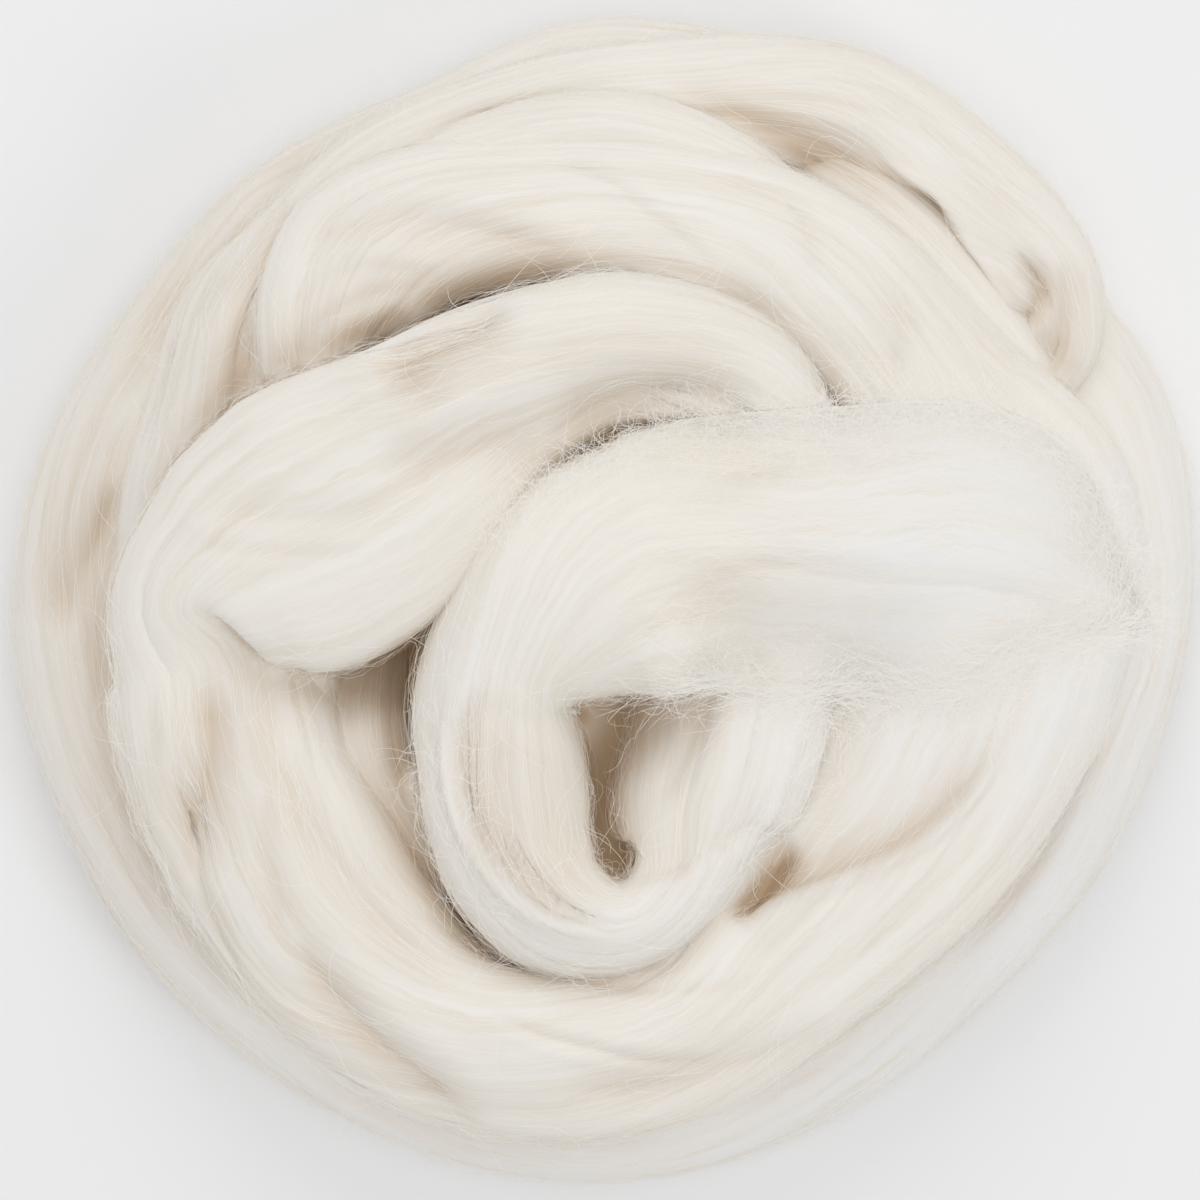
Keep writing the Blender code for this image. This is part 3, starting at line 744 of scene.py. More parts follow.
# %% Half hidden strands
HALF_HIDDEN = {
    "pit_floor": stations(
        (-12, -12, 40, 0.6, 0.9), (-6, -21, 38, 0.6, 0.9), (2, -31, 30, 0.7, 0.9),
        (3, -42, 29, 0.7, 0.9), (4, -53, 32, 0.6, 0.9), (8, -62, 34, 0.5, 0.9)),
    "back_pocket": stations(
        (46, 20, 38, 0.6, 0.7), (33, 30, 42, 0.7, 0.8), (18, 35, 44, 0.8, 0.8),
        (3, 32, 45, 0.8, 0.8), (-8, 23, 46, 0.7, 0.8), (-18, 10, 45, 0.6, 0.7)),
    "left_pocket": stations(
        (-47, 4, 34, 0.5, 0.8), (-48, -10, 36, 0.5, 0.8, 6), (-47.5, -24, 45, 0.5, 0.8, 6),
        (-44.5, -36, 45, 0.46, 0.8, 4), (-38, -49, 43, 0.4, 0.8), (-29, -60, 38, 0.34, 0.8)),
    "pocket_strand": stations(
        (-35, 6, 28, 0.4, 0.8), (-37, -8, 20, 0.44, 0.7), (-38, -22, 24, 0.46, 0.7),
        (-38, -34, 42, 0.42, 0.8), (-34, -46, 41, 0.4, 0.8), (-26, -57, 38, 0.36, 0.8)),
    "right_gap": stations(
        (16, -72, 34, 0.6, 0.8), (32, -60, 38, 0.6, 0.8), (43, -47, 41, 0.62, 0.8),
        (51, -32, 44, 0.62, 0.8), (55, -16, 45, 0.62, 0.8), (57, 0, 44, 0.6, 0.8)),
    "thin_lock": stations(
        (-54, 76, 38, 0.14, 0.35, 10), (-34, 87, 44.5, 0.28, 0.5, 16),
        (-16, 92.5, 47.5, 0.36, 0.55, 18), (0, 94, 49, 0.38, 0.55, 18),
        (14, 92, 49.5, 0.36, 0.55, 18), (28, 87, 49, 0.28, 0.5, 18), (46, 77, 44, 0.14, 0.35, 14)),
    "side_lock": stations(
        (40, 89, 37, 0.24, 0.5), (55, 78.5, 42, 0.46, 0.6, 6), (66, 68, 43, 0.48, 0.6, 6),
        (75, 58, 42, 0.46, 0.6, 6), (83, 47, 39.5, 0.4, 0.6, 4), (90, 34, 35, 0.3, 0.6)),
}
add_turn("fold_under", FOLD, FRONT_CREASES, 2.1, 150, seed=17)
for number, (name, table) in enumerate(HALF_HIDDEN.items()):
    add_turn(name, table, [], 2.4, 90, seed=50 + 4 * number, swell=0.6, tips=(8, 8))

# %% [markdown]
# ## The hidden turns
#
# Below the turns that show lie others.  Some repeat the same way one layer lower and some have a
# way of their own, and all have fewer points.  A flat spiral under them is what the nest stands on.

# %% Lower turns
BED_ROWS = 31              # ten to a turn
BED_START = 12.0           # the spiral's inner radius, in mm
BED_GROWTH = 2.35          # by how much its radius grows from row to row, in mm


def bed_spiral():
    """The stations of a flat spiral that runs outward near the surface."""
    found = []
    for number in range(BED_ROWS):
        turn, radius = number * math.pi / 5, BED_START + BED_GROWTH * number
        found.append(Station(radius * math.cos(turn), radius * math.sin(turn), 16, 0.9, 0.65))
    return found


for name, table, step, columns, seed in (
        ("lower_middle", lowered(INNER_RING + S_BEND), 4.5, 64, 25),
        ("lower_back", lowered(BACK_TURN), 4.5, 60, 29),
        ("lower_front", LOWER_FRONT, 4.5, 60, 33),
        ("lower_outer", LOWER_OUTER, 4.5, 60, 37),
        ("bed", bed_spiral(), 5.0, 36, 41)):
    add_turn(name, table, [], step, columns, seed)

# %% [markdown]
# ## A map of heights
#
# Several steps need to know how high the nest is at a place, seen from above: the loose end lies
# on it, hairs rest on it, and deep places are darker.  A map in small square cells holds that.

# %% Height map
MAP_CELL = 0.75            # the side of a cell, in mm
MAP_REACH = 130.0          # the map ends so far from the nest's middle, in mm


def height_map():
    """The highest point of all the pieces, over a square grid seen from above, in mm."""
    size = int(2 * MAP_REACH / MAP_CELL)
    heights = np.zeros((size, size))
    for piece in pieces.values():
        grid = piece.points
        for share in np.linspace(0, 1, 4, endpoint=False):
            between = grid[:-1] * (1 - share) + grid[1:] * share
            cell = ((between[..., :2] + MAP_REACH) / MAP_CELL).astype(int).reshape(-1, 2)
            inside = ((cell >= 0) & (cell < size)).all(axis=1)
            column, row = cell[inside].T
            np.maximum.at(heights, (row, column), between[..., 2].ravel()[inside])
    return heights


def spread(heights, cells):
    """Each cell takes the highest value within some cells of it."""
    for _ in range(cells):
        for axis in (0, 1):
            beside = np.maximum(np.roll(heights, 1, axis), np.roll(heights, -1, axis))
            heights = np.maximum(heights, beside)
    return heights


def blur(heights, radius):
    """The map blurred with a Gaussian of a radius in mm."""
    wave = np.fft.fftfreq(len(heights)) * radius / MAP_CELL
    kernel = np.exp(-2 * math.pi ** 2 * (wave[:, None] ** 2 + wave[None, :] ** 2))
    return np.fft.ifft2(np.fft.fft2(heights) * kernel).real


def read_map(heights, x, y):
    """A map's values at points in mm, read between its cells."""
    u = np.clip((x + MAP_REACH) / MAP_CELL - 0.5, 0, heights.shape[1] - 1.001)
    v = np.clip((y + MAP_REACH) / MAP_CELL - 0.5, 0, heights.shape[0] - 1.001)
    i, j = u.astype(int), v.astype(int)
    fu, fv = u - i, v - j
    low = heights[j, i] * (1 - fu) + heights[j, i + 1] * fu
    high = heights[j + 1, i] * (1 - fu) + heights[j + 1, i + 1] * fu
    return low * (1 - fv) + high * fv


print("highest point so far, mm:", round(float(height_map().max()), 1))

# %% [markdown]
# ## Laying the loose end
#
# The strand's free end is a wide, thin, soft layer.  Its upper side follows the table where wool
# carries it, and towards its edges it thins to a film that lies on whatever is below.  Rays shot
# straight down find that surface, a few hundredths of a millimetre under the film.

# %% Find the ground
OVERHEAD = 200.0           # where the rays start, in mm


def ground_tree():
    """All the meshes so far as one tree that rays can be shot at."""
    points, polygons, count = [], [], 0
    for piece in pieces.values():
        grid = piece.points
        rows, columns = grid.shape[:2]
        points.append(grid.reshape(-1, 3))
        polygons.append(grid_faces(rows, columns) + count)
        count += rows * columns
    return BVHTree.FromPolygons(np.concatenate(points).tolist(),
                                np.concatenate(polygons).tolist())


def ground_under(x, y, tree):
    """The height of the first surface below each point, found with rays shot straight down."""
    hits = np.zeros(x.shape)
    for index in np.ndindex(hits.shape):
        hit, *_ = tree.ray_cast(Vector((x[index], y[index], OVERHEAD)), Vector((0, 0, -1)))
        hits[index] = hit.z if hit else 0.0
    return hits


wool_below = ground_tree()
print("height under the loose end's middle, mm:",
      ground_under(np.array([65.0]), np.array([9.0]), wool_below).round(1))

# %% Lay the loose end
FILM = 0.05                # the loose end's thickness at its very edge, in mm
FILM_CROWN = 0.5           # how much thicker it is at least along its middle, in mm
GROUND_GAP = 0.02          # how far its underside stays off what it lies on, in mm
RAGGED = 0.05              # by what share of its width its edges wander in and out
RAGGED_LENGTH = 17.0       # and over what length, in mm
TIP_LENGTH = 20.0          # over this length from the tip it lies down on the ground itself
ROOT_BLEND = 26.0          # over this length from the root the section turns into a laid one
BROAD = 6.0                # its middle follows the ground blurred over so many mm
CLOSE = 2.4                # and its edges follow the ground blurred over so many
CLOSE_SINK = 0.5           # and lie lower by this, in mm


def lay_on_ground(grid, travelled, tree):
    """The loose end's grid with its heights changed to those of a layer that lies on the rest."""
    path, _ = smooth(UPPER_ROWS, travelled[1] - travelled[0])
    _, y, top, wide, deep = path[:len(grid), :5].T[..., None]
    centre = path[:len(grid), None, :2]
    thick = deep * STRAND_DEPTH
    offset = np.linalg.norm(grid[..., :2] - centre, axis=-1)
    share = np.clip(offset / np.maximum(wide * STRAND_WIDTH / 2, 1), 0, 1)
    side = np.sign(grid[..., 1] - y)
    ragged = wander(travelled[:, None] / RAGGED_LENGTH, side, seed=71)
    ragged = 1 + RAGGED * ragged * ramp(share - 0.5, 0.4)
    grid = grid.copy()
    grid[..., :2] = centre + (grid[..., :2] - centre) * ragged[..., None]
    heights = spread(height_map(), 3)
    broad = read_map(blur(heights, BROAD), grid[..., 0], grid[..., 1])
    close = read_map(blur(heights, CLOSE), grid[..., 0], grid[..., 1]) - CLOSE_SINK
    hits = ground_under(grid[..., 0], grid[..., 1], tree)
    ground = np.maximum(close + (broad - close) * ease(ramp(1 - share, 0.4)), hits)
    ground = hits + (ground - hits) * ramp(travelled[:, None], TIP_LENGTH)
    film = FILM + FILM_CROWN * (1 - share ** 2)
    crest = (1 - share ** 2) ** (2.6 - 1.2 * ramp(grid[..., 1] - y, 8))
    over = np.maximum(ground + (top - ground) * crest, hits) + film
    under = np.minimum(np.maximum(top - thick, hits + GROUND_GAP), over - FILM / 2)
    columns = grid.shape[1]
    low_side = np.arange(columns) >= int(columns * UPPER_SHARE)
    low_side |= np.sin(section_angles(columns)) < -0.02
    laid = grid.copy()
    laid[..., 2] = np.where(low_side[None, :], under, over)
    blend = ease(ramp(travelled[-1] - travelled, ROOT_BLEND))[:, None, None]
    return grid * (1 - blend) + laid * blend, hits


LOCK_ROOM = 6.0            # a layer of this thickness has its locks in full, in mm
LOCK_ROOT = 12.0           # and so it has at its root, from which they fade over this length
root = cuts[1]
beyond = root + 3
laid, ground = lay_on_ground(plain[:beyond], along[:beyond], wool_below)
near_root = np.clip(1 - (along[root] - along[:beyond]) / LOCK_ROOT, 0, 1)[:, None]
thickness = np.maximum(ramp(laid[..., 2] - ground, LOCK_ROOM), near_root)
loose = fold_fibres(laid, upper_heights[:beyond] * thickness)
loose, loose_crease_shade = press_creases(loose, LOOSE_CREASES)
upper[:root] = loose[:root]
upper_crease_shade[:root] = loose_crease_shade[:root]
add_upper("loose_layer", 0, root)

# %% [markdown]
# ## How open a place lies
#
# Deep between the turns the wool lies in shade, and that shade is painted into its colour, warmer
# and darker.  So every place on the height map looks round in sixteen directions for how high the
# wool rises there.  The side that a place faces counts most.  What is shut off of the sky goes into
# the mesh as an attribute of painted shade, 0 in the open and 1 deep down, which the material reads.
# A second attribute makes the colour paler and cooler and takes away part of the painted shade:
# towards the right on the loose end and the front turn, along the ring's outer edge at the front,
# and towards the front and the right on the outer turn.

# %% Open sky
LOOKS = 16                 # directions to look in
FLAT_WEIGHT = 0.4          # how much a look counts for wool that lies flat
LOOK_REACH = (1.5, 2.5, 4, 7, 11, 17)      # how far off each look reads the map, in mm
skyline = spread(height_map(), 1)
crests = -spread(-skyline, 1)


def open_sky(heights):
    """For each cell of the map, the share of the sky that the wool leaves open on the side that
    the cell faces."""
    rise_y, rise_x = np.gradient(blur(heights, 0.8), MAP_CELL)
    tilt = np.sqrt(1 + rise_x ** 2 + rise_y ** 2)
    share, weights = np.zeros_like(heights), np.zeros_like(heights)
    for turn in np.arange(LOOKS) * 2 * math.pi / LOOKS:
        steepest = np.zeros_like(heights)
        for reach in LOOK_REACH:
            cells = (round(reach * math.sin(turn) / MAP_CELL), round(reach * math.cos(turn) / MAP_CELL))
            steepest = np.maximum(steepest, (np.roll(heights, cells, (0, 1)) - heights) / reach)
        facing = (rise_x * math.cos(turn) + rise_y * math.sin(turn)) / tilt
        weight = np.clip(FLAT_WEIGHT + facing, 0, None)
        share += weight / (1 + steepest ** 2)
        weights += weight
    return share / np.maximum(weights, 1e-6)


sky = blur(open_sky(blur(crests, 0.6)), 0.8)
print("share of open sky, least and most:", round(float(sky.min()), 2), round(float(sky.max()), 2))

# %% Mark hollow and airy wool
SKY_OPEN, SKY_RANGE = 0.97, 0.62           # share of open sky at which the painted shade starts, and its span
BURIED, BURIED_RANGE = 2.5, 9              # depth under the top at which it starts, and its span
NEST_EDGE, EDGE_RANGE = 114.0, 22          # towards this radius in mm that depth stops to count
# How much of the painted shade a turn takes on: at the nest's edge it lies open to the side.
SHELTER = {"outer_turn": 0.12, "second_turn": 0.8, "left_pocket": 0.8, "pocket_strand": 1.3}
# How much of the painted shade is taken away where the colour is made paler and cooler.
PALE_SHADE_CUT = {"loose_layer": 0.7, "front_turn": 0.7, "inner_ring": 0.6}
PIT_Y = -32.0              # where the pit's middle lies, in mm


def mark(mesh, name, values):
    """Gives a mesh an attribute.  Points at its end that have no value get the mean."""
    marks = mesh.attributes.new(name, "FLOAT", "POINT")
    values = np.concatenate([values, np.full(len(mesh.vertices) - len(values), values.mean())])
    marks.data.foreach_set("value", np.clip(values, 0, 1).astype(np.float32))


def pale_cool_share(name, x, y):
    """How much paler and cooler the colour is made at places on a turn, given in mm seen from above."""
    if name in ("loose_layer", "front_turn"):
        return ramp(x - 24, 36) * ramp(y + 52, 34)
    if name == "inner_ring":
        return 0.6 * (ramp(np.hypot(x, y - PIT_Y) - 24, 8) * ramp(2 - y, 14))
    if name == "outer_turn":
        return np.clip(0.15 + (x / 2 - y) / 110, 0, 1)
    return np.zeros(len(x))


def mark_pieces():
    """Gives every turn its two attributes: its painted shade, and how much paler and cooler its colour
    is made.
    """
    for name, piece in pieces.items():
        x, y, z = piece.points.reshape(-1, 3).T
        radius = np.hypot(x, y)
        below = ramp(read_map(skyline, x, y) - z - BURIED, BURIED_RANGE)
        below = below * ramp(NEST_EDGE - radius, EDGE_RANGE)
        shut = ramp(SKY_OPEN - read_map(sky, x, y), SKY_RANGE)
        shelter = SHELTER.get(name, 1.0)
        if name == "outer_turn":
            shelter = shelter + 0.5 * ramp(106 - radius, 10)
        # painted shade: from the sky that the wool around shuts off, from how deep it lies under the
        # top, and from its creases
        painted_shade = (shut ** 1.15 + 0.7 * below) * shelter + piece.tint.ravel()
        pale_cool = pale_cool_share(name, x, y)
        mark(piece.obj.data, "painted_shade", painted_shade * (1 - PALE_SHADE_CUT.get(name, 0) * pale_cool))
        mark(piece.obj.data, "pale_cool", pale_cool)


mark_pieces()
print("turns marked:", len(pieces))

# %% [markdown]
# ## Fibres
#
# What makes wool look like wool is the single fibres on it.  Each is a thin closed tube with three
# sides and pointed ends, and there are three kinds.  Most lie along their lane and rise from it
# only a little.  Short ones on the flanks stick out as a soft fuzz, so that no turn ends in a hard
# outline.  Stray hairs leave the surface, curl, cross the gaps and catch the light: they are
# thickest round the pit and along the loose end's two edges.

# %% Fibre tubes
FIBRE_RADIUS = 0.05        # mm: a real fibre is finer, so one tube stands for a few of them
FUZZ_RADIUS = 0.038        # mm: the fuzz is finer still, or it would grey the turns' edges


def tube_mesh(name, paths, outward, radius):
    """One mesh of thin tubes from an array of paths: fibres by points by xyz, in mm.  Each tube
    turns a flat side to the outward direction of its point, so that it is lit as the wool is."""
    count, length = paths.shape[:2]
    ahead = np.gradient(paths, axis=1)
    ahead /= np.maximum(np.linalg.norm(ahead, axis=2), 1e-9)[..., None]
    side = np.cross(outward, ahead)
    side /= np.maximum(np.linalg.norm(side, axis=2), 1e-6)[..., None]
    rise = np.cross(ahead, side)
    share = np.linspace(-1, 1, length)
    girth = radius * (1 - 0.6 * share ** 4)[None, 1:-1, None]
    rings = []
    for angle in (30, 150, 270):
        turn = math.radians(angle)
        out = side * math.cos(turn) + rise * math.sin(turn)
        rings.append(paths[:, 1:-1] + out[:, 1:-1] * girth)
    body = np.stack(rings, axis=2).reshape(count, -1, 3)
    vertices = np.concatenate([body, paths[:, :1], paths[:, -1:]], axis=1)
    vertices[..., 2] = np.maximum(vertices[..., 2], 0.05)
    each = vertices.shape[1]
    r, k = np.meshgrid(np.arange(length - 3), np.arange(3), indexing="ij")
    here, beside = r * 3 + k, r * 3 + (k + 1) % 3
    quads = np.stack([here, beside, beside + 3, here + 3], axis=-1).reshape(-1, 4)
    tip, tail, base = each - 2, each - 1, (length - 3) * 3
    fans = [(tip, (k + 1) % 3, k) for k in range(3)]
    fans += [(tail, base + k, base + (k + 1) % 3) for k in range(3)]
    shift = (np.arange(count) * each)[:, None, None]
    quads = (quads[None] + shift).reshape(-1, 4)
    fans = (np.array(fans)[None] + shift).reshape(-1, 3)
    return mesh_from(name, vertices.reshape(-1, 3), quads, fans, smooth_shading=False)


print("thickness of a fibre and of the fuzz, mm:", 2 * FIBRE_RADIUS, 2 * FUZZ_RADIUS)

# %% Read a turn's surface
SEEN_SHARE = 0.7           # a fibre stays if more than this share of it shows
FLANK = 108.0              # from this radius on the nest is seen from the side, in mm
Grid = namedtuple("Grid", "points normals lanes step")


def sample(values, row, column):
    """A grid's values at broken row and column numbers."""
    rows, columns = values.shape[:2]
    row = np.clip(row, 0, rows - 1.001)
    r, c = np.floor(row).astype(int), np.floor(column).astype(int)
    fr, fc = (row - r)[..., None], (column - c)[..., None]
    c, d = c % columns, (c + 1) % columns
    low = values[r, c] * (1 - fc) + values[r, d] * fc
    high = values[r + 1, c] * (1 - fc) + values[r + 1, d] * fc
    return low * (1 - fr) + high * fr


def in_sight(paths, allow):
    """Which paths lie mostly on the nest's outside, seen from above or from the side."""
    x, y, z = np.moveaxis(paths[:, 2:-2:2], -1, 0)
    above = z > read_map(skyline, x, y) - allow
    return (above | (np.hypot(x, y) > FLANK)).mean(axis=1) > SEEN_SHARE


def joined(*parts):
    """Several sets of fibres as one set."""
    return np.concatenate(parts, axis=1)


def grid_of(name):
    """A turn's surface as the fibres need it."""
    piece = pieces[name]
    return Grid(piece.points, normals_of(piece.points), piece.lanes[:, :-1],
                piece.along[1] - piece.along[0])


upper_grid = Grid(upper, normals_of(upper), upper_lanes[:, :-1], along[1] - along[0])
outer_grid, second_grid = grid_of("outer_turn"), grid_of("second_turn")
hidden_grids = [grid_of(name) for name in [*HALF_HIDDEN, "fold_under"]]
ring_end, back_end = cuts[2], cuts[-1]
print("grids with hidden wool:", len(hidden_grids))

# %% Lay fibres along a turn
FIBRE_POINTS = 10          # points along a laid fibre
LANE_STEPS = 5             # tries to find the column at which a fibre's lane lies
LANE_STEP = 0.7            # how much of what is still missing each of them makes good
UPPER_GIRTH = 80.0         # the way round a section's upper side, in mm


def lay_fibres(grid, count, seed, span, lift=0.25, drift=2.2, rows=None, allow=1.8,
               points=FIBRE_POINTS, edge=None):
    """Fibres that follow a turn's surface: their paths and, for each point, the way outward.
    Lengths, lift and drift are in mm.  With edge given, only fibres stay that lie where the
    surface stands so steep: there they stick out past the turn's outline as a soft fuzz."""
    rng = np.random.default_rng(seed)
    last_row, columns = grid.points.shape[0] - 1, grid.points.shape[1]
    low, high = rows or (0, last_row)
    upper = int(columns * UPPER_SHARE)
    per_mm = upper / UPPER_GIRTH
    t = np.linspace(-0.5, 0.5, points)[None, :]
    length = rng.uniform(*span, (count, 1)) / grid.step
    middle = rng.uniform(low, high, (count, 1))
    middle = np.clip(middle, length / 2, last_row - length / 2)
    lane = rng.uniform(0, upper, (count, 1))
    if edge:
        steep = sample(grid.normals, middle, lane)[:, 0, 2]
        good = (steep > edge[0]) & (steep < edge[1])
        length, middle, lane = length[good], middle[good], lane[good]
        count = len(lane)
    row = middle + length * t
    bow, slope, wave, phase = rng.normal(0, 1, (4, count, 1))
    sway = drift * (1.2 * slope * t + 1.6 * bow * t ** 2 + 0.25 * wave * np.sin(9 * t + 6 * phase))
    lanes = grid.lanes[..., None]
    wanted = sample(lanes, middle, lane)[..., 0] + sway
    column = np.repeat(lane, points, axis=1)
    for _ in range(LANE_STEPS):
        column = column + LANE_STEP * (wanted - sample(lanes, row, column)[..., 0]) * per_mm
    rise = lift * rng.gamma(1.6, 0.6, (count, 1)) * (1 - (2 * t) ** 2)
    rise = rise + 0.02 + 0.05 * rng.normal(0, 1, (count, points)) * lift
    outward = sample(grid.normals, row, column)
    paths = sample(grid.points, row, column) + outward * rise[..., None]
    seen = in_sight(paths, allow)
    return np.stack([paths[seen], outward[seen]])


LONG, SHORT = (14, 60), (12, 34)           # how long the fibres are, in mm
laid_fibres = {
    "fibres_loose": lay_fibres(upper_grid, 1500, 101, LONG, lift=0.6, drift=4.0, rows=(0, root)),
    "fibres_upper": lay_fibres(upper_grid, 3600, 102, LONG, lift=0.35, rows=(root, back_end)),
    "fibres_outside": joined(lay_fibres(second_grid, 900, 106, LONG),
                             lay_fibres(outer_grid, 1400, 107, LONG)),
    "fibres_within": joined(*[lay_fibres(grid, 260, 110 + number, SHORT, lift=0.5, allow=3.0)
                              for number, grid in enumerate(hidden_grids)]),
}
FUZZ = dict(span=(5, 15), lift=0.8, drift=1.6, points=6, edge=(-0.15, 0.5), allow=3.0)
edge_fuzz = {
    "fuzz_loose": lay_fibres(upper_grid, 3000, 120, rows=(0, root), **FUZZ),
    "fuzz_upper": lay_fibres(upper_grid, 26000, 121, rows=(root, back_end), **FUZZ),
    "fuzz_outside": joined(lay_fibres(second_grid, 6000, 122, **FUZZ),
                           lay_fibres(outer_grid, 9000, 123, **FUZZ)),
    "fuzz_within": joined(*[lay_fibres(grid, 1400, 130 + number, **FUZZ)
                            for number, grid in enumerate(hidden_grids)]),
}
for name, fibres in {**laid_fibres, **edge_fuzz}.items():
    print(name, fibres.shape[1])

# %% Stray hairs
HAIR_POINTS = 9            # points along a hair
HAIR_LIMIT = 121.5         # no hair reaches further out, in mm
HAIR_ABOVE = 3.0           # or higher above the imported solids
HAIR_ROOT = 0.3            # how deep it sits in the wool
drape = blur(spread(skyline, 2), 1.5)


def stray_hairs(grid, count, seed, rows=None, columns=(0.0, UPPER_SHARE), length=(8, 22), lift=1.2,
                turn=0.35, curl=0.35):
    """Hairs that start on a surface and leave it.  turn is how far off the strand's way they head
    and curl how much they wind, both in radians."""
    rng = np.random.default_rng(seed)
    row = rng.uniform(*(rows or (0, len(grid.points) - 2)), count)
    column = rng.uniform(*columns, count) * grid.points.shape[1]
    start = sample(grid.points, row, column)
    ahead = sample(grid.points, row + 1, column) - start
    sense = rng.choice([-1.0, 1.0], count)
    heading = np.arctan2(ahead[:, 1] * sense, ahead[:, 0] * sense) + rng.normal(0, turn, count)
    bend = rng.normal(0, 0.5 + curl / 2, count)
    wave, phase = rng.normal(0, curl, count), rng.uniform(0, 6.28, count)
    reach = rng.uniform(*length, count)
    t = np.linspace(0, 1, HAIR_POINTS)
    angle = heading[:, None] + bend[:, None] * t * 1.6 + wave[:, None] * np.sin(6 * t + phase[:, None])
    pace = (reach / (HAIR_POINTS - 1))[:, None]
    x, y = (start[:, axis, None] + np.cumsum(part(angle) * pace, axis=1) - part(angle[:, :1]) * pace
            for axis, part in enumerate((np.cos, np.sin)))
    rise = lift * rng.gamma(1.5, 0.5, (count, 1)) * np.sin(math.pi * (0.15 + 0.8 * t)) ** 1.5
    lean = rng.normal(0, 1.5, (count, 1)) * t
    z = np.maximum(read_map(drape, x, y) + 0.1, start[:, 2, None] + lean - 3 * t ** 2) + rise
    z = np.minimum(z, NEST_HEIGHT + HAIR_ABOVE)
    inside = np.hypot(x, y).max(axis=1) < HAIR_LIMIT
    paths = np.stack([x, y, z], axis=-1)
    paths[:, 0] = start - [0, 0, HAIR_ROOT]
    seen = inside & (start[:, 2] > read_map(skyline, start[:, 0], start[:, 1]) - 2.5)
    return np.stack([paths[seen], np.broadcast_to([0.0, 0.0, 1.0], paths[seen].shape)])


FRIZZ = dict(length=(5, 15), lift=0.8, turn=0.8, curl=0.7)      # short, curly hairs
stray = {
    "strays_upper": joined(
        stray_hairs(upper_grid, 600, 201, (root, back_end - 1)),
        stray_hairs(upper_grid, 620, 202, (root, ring_end), (0.0, 0.16), **FRIZZ),
        stray_hairs(upper_grid, 520, 203, (root, ring_end), (0.6, 0.8), **FRIZZ),
        stray_hairs(grid_of("pit_floor"), 260, 212, length=(5, 13), lift=2.0, turn=1.0, curl=0.7),
        stray_hairs(upper_grid, 240, 204, (ring_end, back_end), (0.0, 0.14), lift=0.8),
        stray_hairs(upper_grid, 240, 205, (ring_end, back_end), (0.66, 0.8), lift=0.8)),
    "strays_loose": joined(
        stray_hairs(upper_grid, 420, 206, (0, 12), length=(8, 18), lift=0.5, turn=0.25),
        stray_hairs(upper_grid, 500, 207, (5, root + 6), (0.0, 0.2), (4, 12), 0.6, 0.9, 0.6),
        stray_hairs(upper_grid, 900, 211, (3, root - 2), (0.0, 0.12), (10, 26), 0.35, 0.3, 0.3),
        stray_hairs(upper_grid, 800, 208, (5, root + 8), (0.5, 0.74), (5, 15), 0.7, 0.8, 0.7),
        stray_hairs(upper_grid, 900, 213, (5, root + 10), (0.58, 0.71), (4, 11), 1.6, 1.5, 1.0)),
    "strays_outer": joined(
        stray_hairs(outer_grid, 600, 209, length=(6, 18), lift=0.7, turn=0.22),
        stray_hairs(second_grid, 300, 210, length=(6, 18), lift=0.7)),
}


for name, hairs in stray.items():
    print(name, hairs.shape[1])

# %% Meshes of fibres
def shade_fibres(mesh, share):
    """Single fibres get a share of the painted shade of the place where they lie."""
    points = np.zeros(3 * len(mesh.vertices), dtype=np.float32)
    mesh.vertices.foreach_get("co", points)
    x, y, z = points.reshape(-1, 3).T / MM
    below = ramp(read_map(skyline, x, y) - z - 1.0, 14)
    mark(mesh, "painted_shade", (ramp(0.95 - read_map(sky, x, y), 0.8) + 0.6 * below) * share)


OPEN_FIBRES, INNER_FIBRES = 0.25, 0.8      # shares of the painted shade for fibres outside and between turns
fibre_objects = []
for name, (paths, outward) in {**laid_fibres, **edge_fuzz, **stray}.items():
    mesh = tube_mesh(name, paths, outward, FUZZ_RADIUS if name in edge_fuzz else FIBRE_RADIUS)
    shade_fibres(mesh, OPEN_FIBRES if "out" in name or "loose" in name else INNER_FIBRES)
    obj = link_object(name, mesh)
    obj.visible_shadow = False
    fibre_objects.append(obj)
    print(name, "fibres", len(paths), "triangles",
          sum(len(polygon.vertices) - 2 for polygon in mesh.polygons))

# %% [markdown]
# ## The wool's material
#
# Undyed wool is a warm white with a faint silky sheen.  Its streaks come from noise that is read
# on the "Fibre" map: stretched along the strand and fine across it.  They change the colour a
# little and the height even less.  A node group holds them.  The hollows are painted a shaded
# brown, and a faint painted light glows out of them, which stands in for the light that wool passes
# on from fibre to fibre, so that it is never black inside.  Single fibres are too thin for streaks,
# so a second, smaller group only gives them their painted shade and glow by depth.

# %% Node helpers
def fill(tree, entry, value):
    """Sets a socket to a value, or links another socket to it."""
    if isinstance(value, (int, float, tuple)):
        entry.default_value = value
    else:
        tree.links.new(value, entry)


def math_node(tree, operation, first, second):
    """Arithmetic with two numbers or sockets."""
    node = tree.nodes.new("ShaderNodeMath")
    node.operation = operation
    fill(tree, node.inputs[0], first)
    fill(tree, node.inputs[1], second)
    return node.outputs[0]


def mix_colour(tree, factor, first, second):
    """A colour between two, by a factor from 0 to 1."""
    node = tree.nodes.new("ShaderNodeMix")
    node.data_type = "RGBA"
    fill(tree, node.inputs[0], factor)
    fill(tree, node.inputs[6], first)
    fill(tree, node.inputs[7], second)
    return node.outputs[2]


def weighted_sum(tree, *terms):
    """The sum of sockets, each with its weight."""
    total = None
    for socket, weight in terms:
        part = math_node(tree, "MULTIPLY", socket, weight)
        total = part if total is None else math_node(tree, "ADD", total, part)
    return total


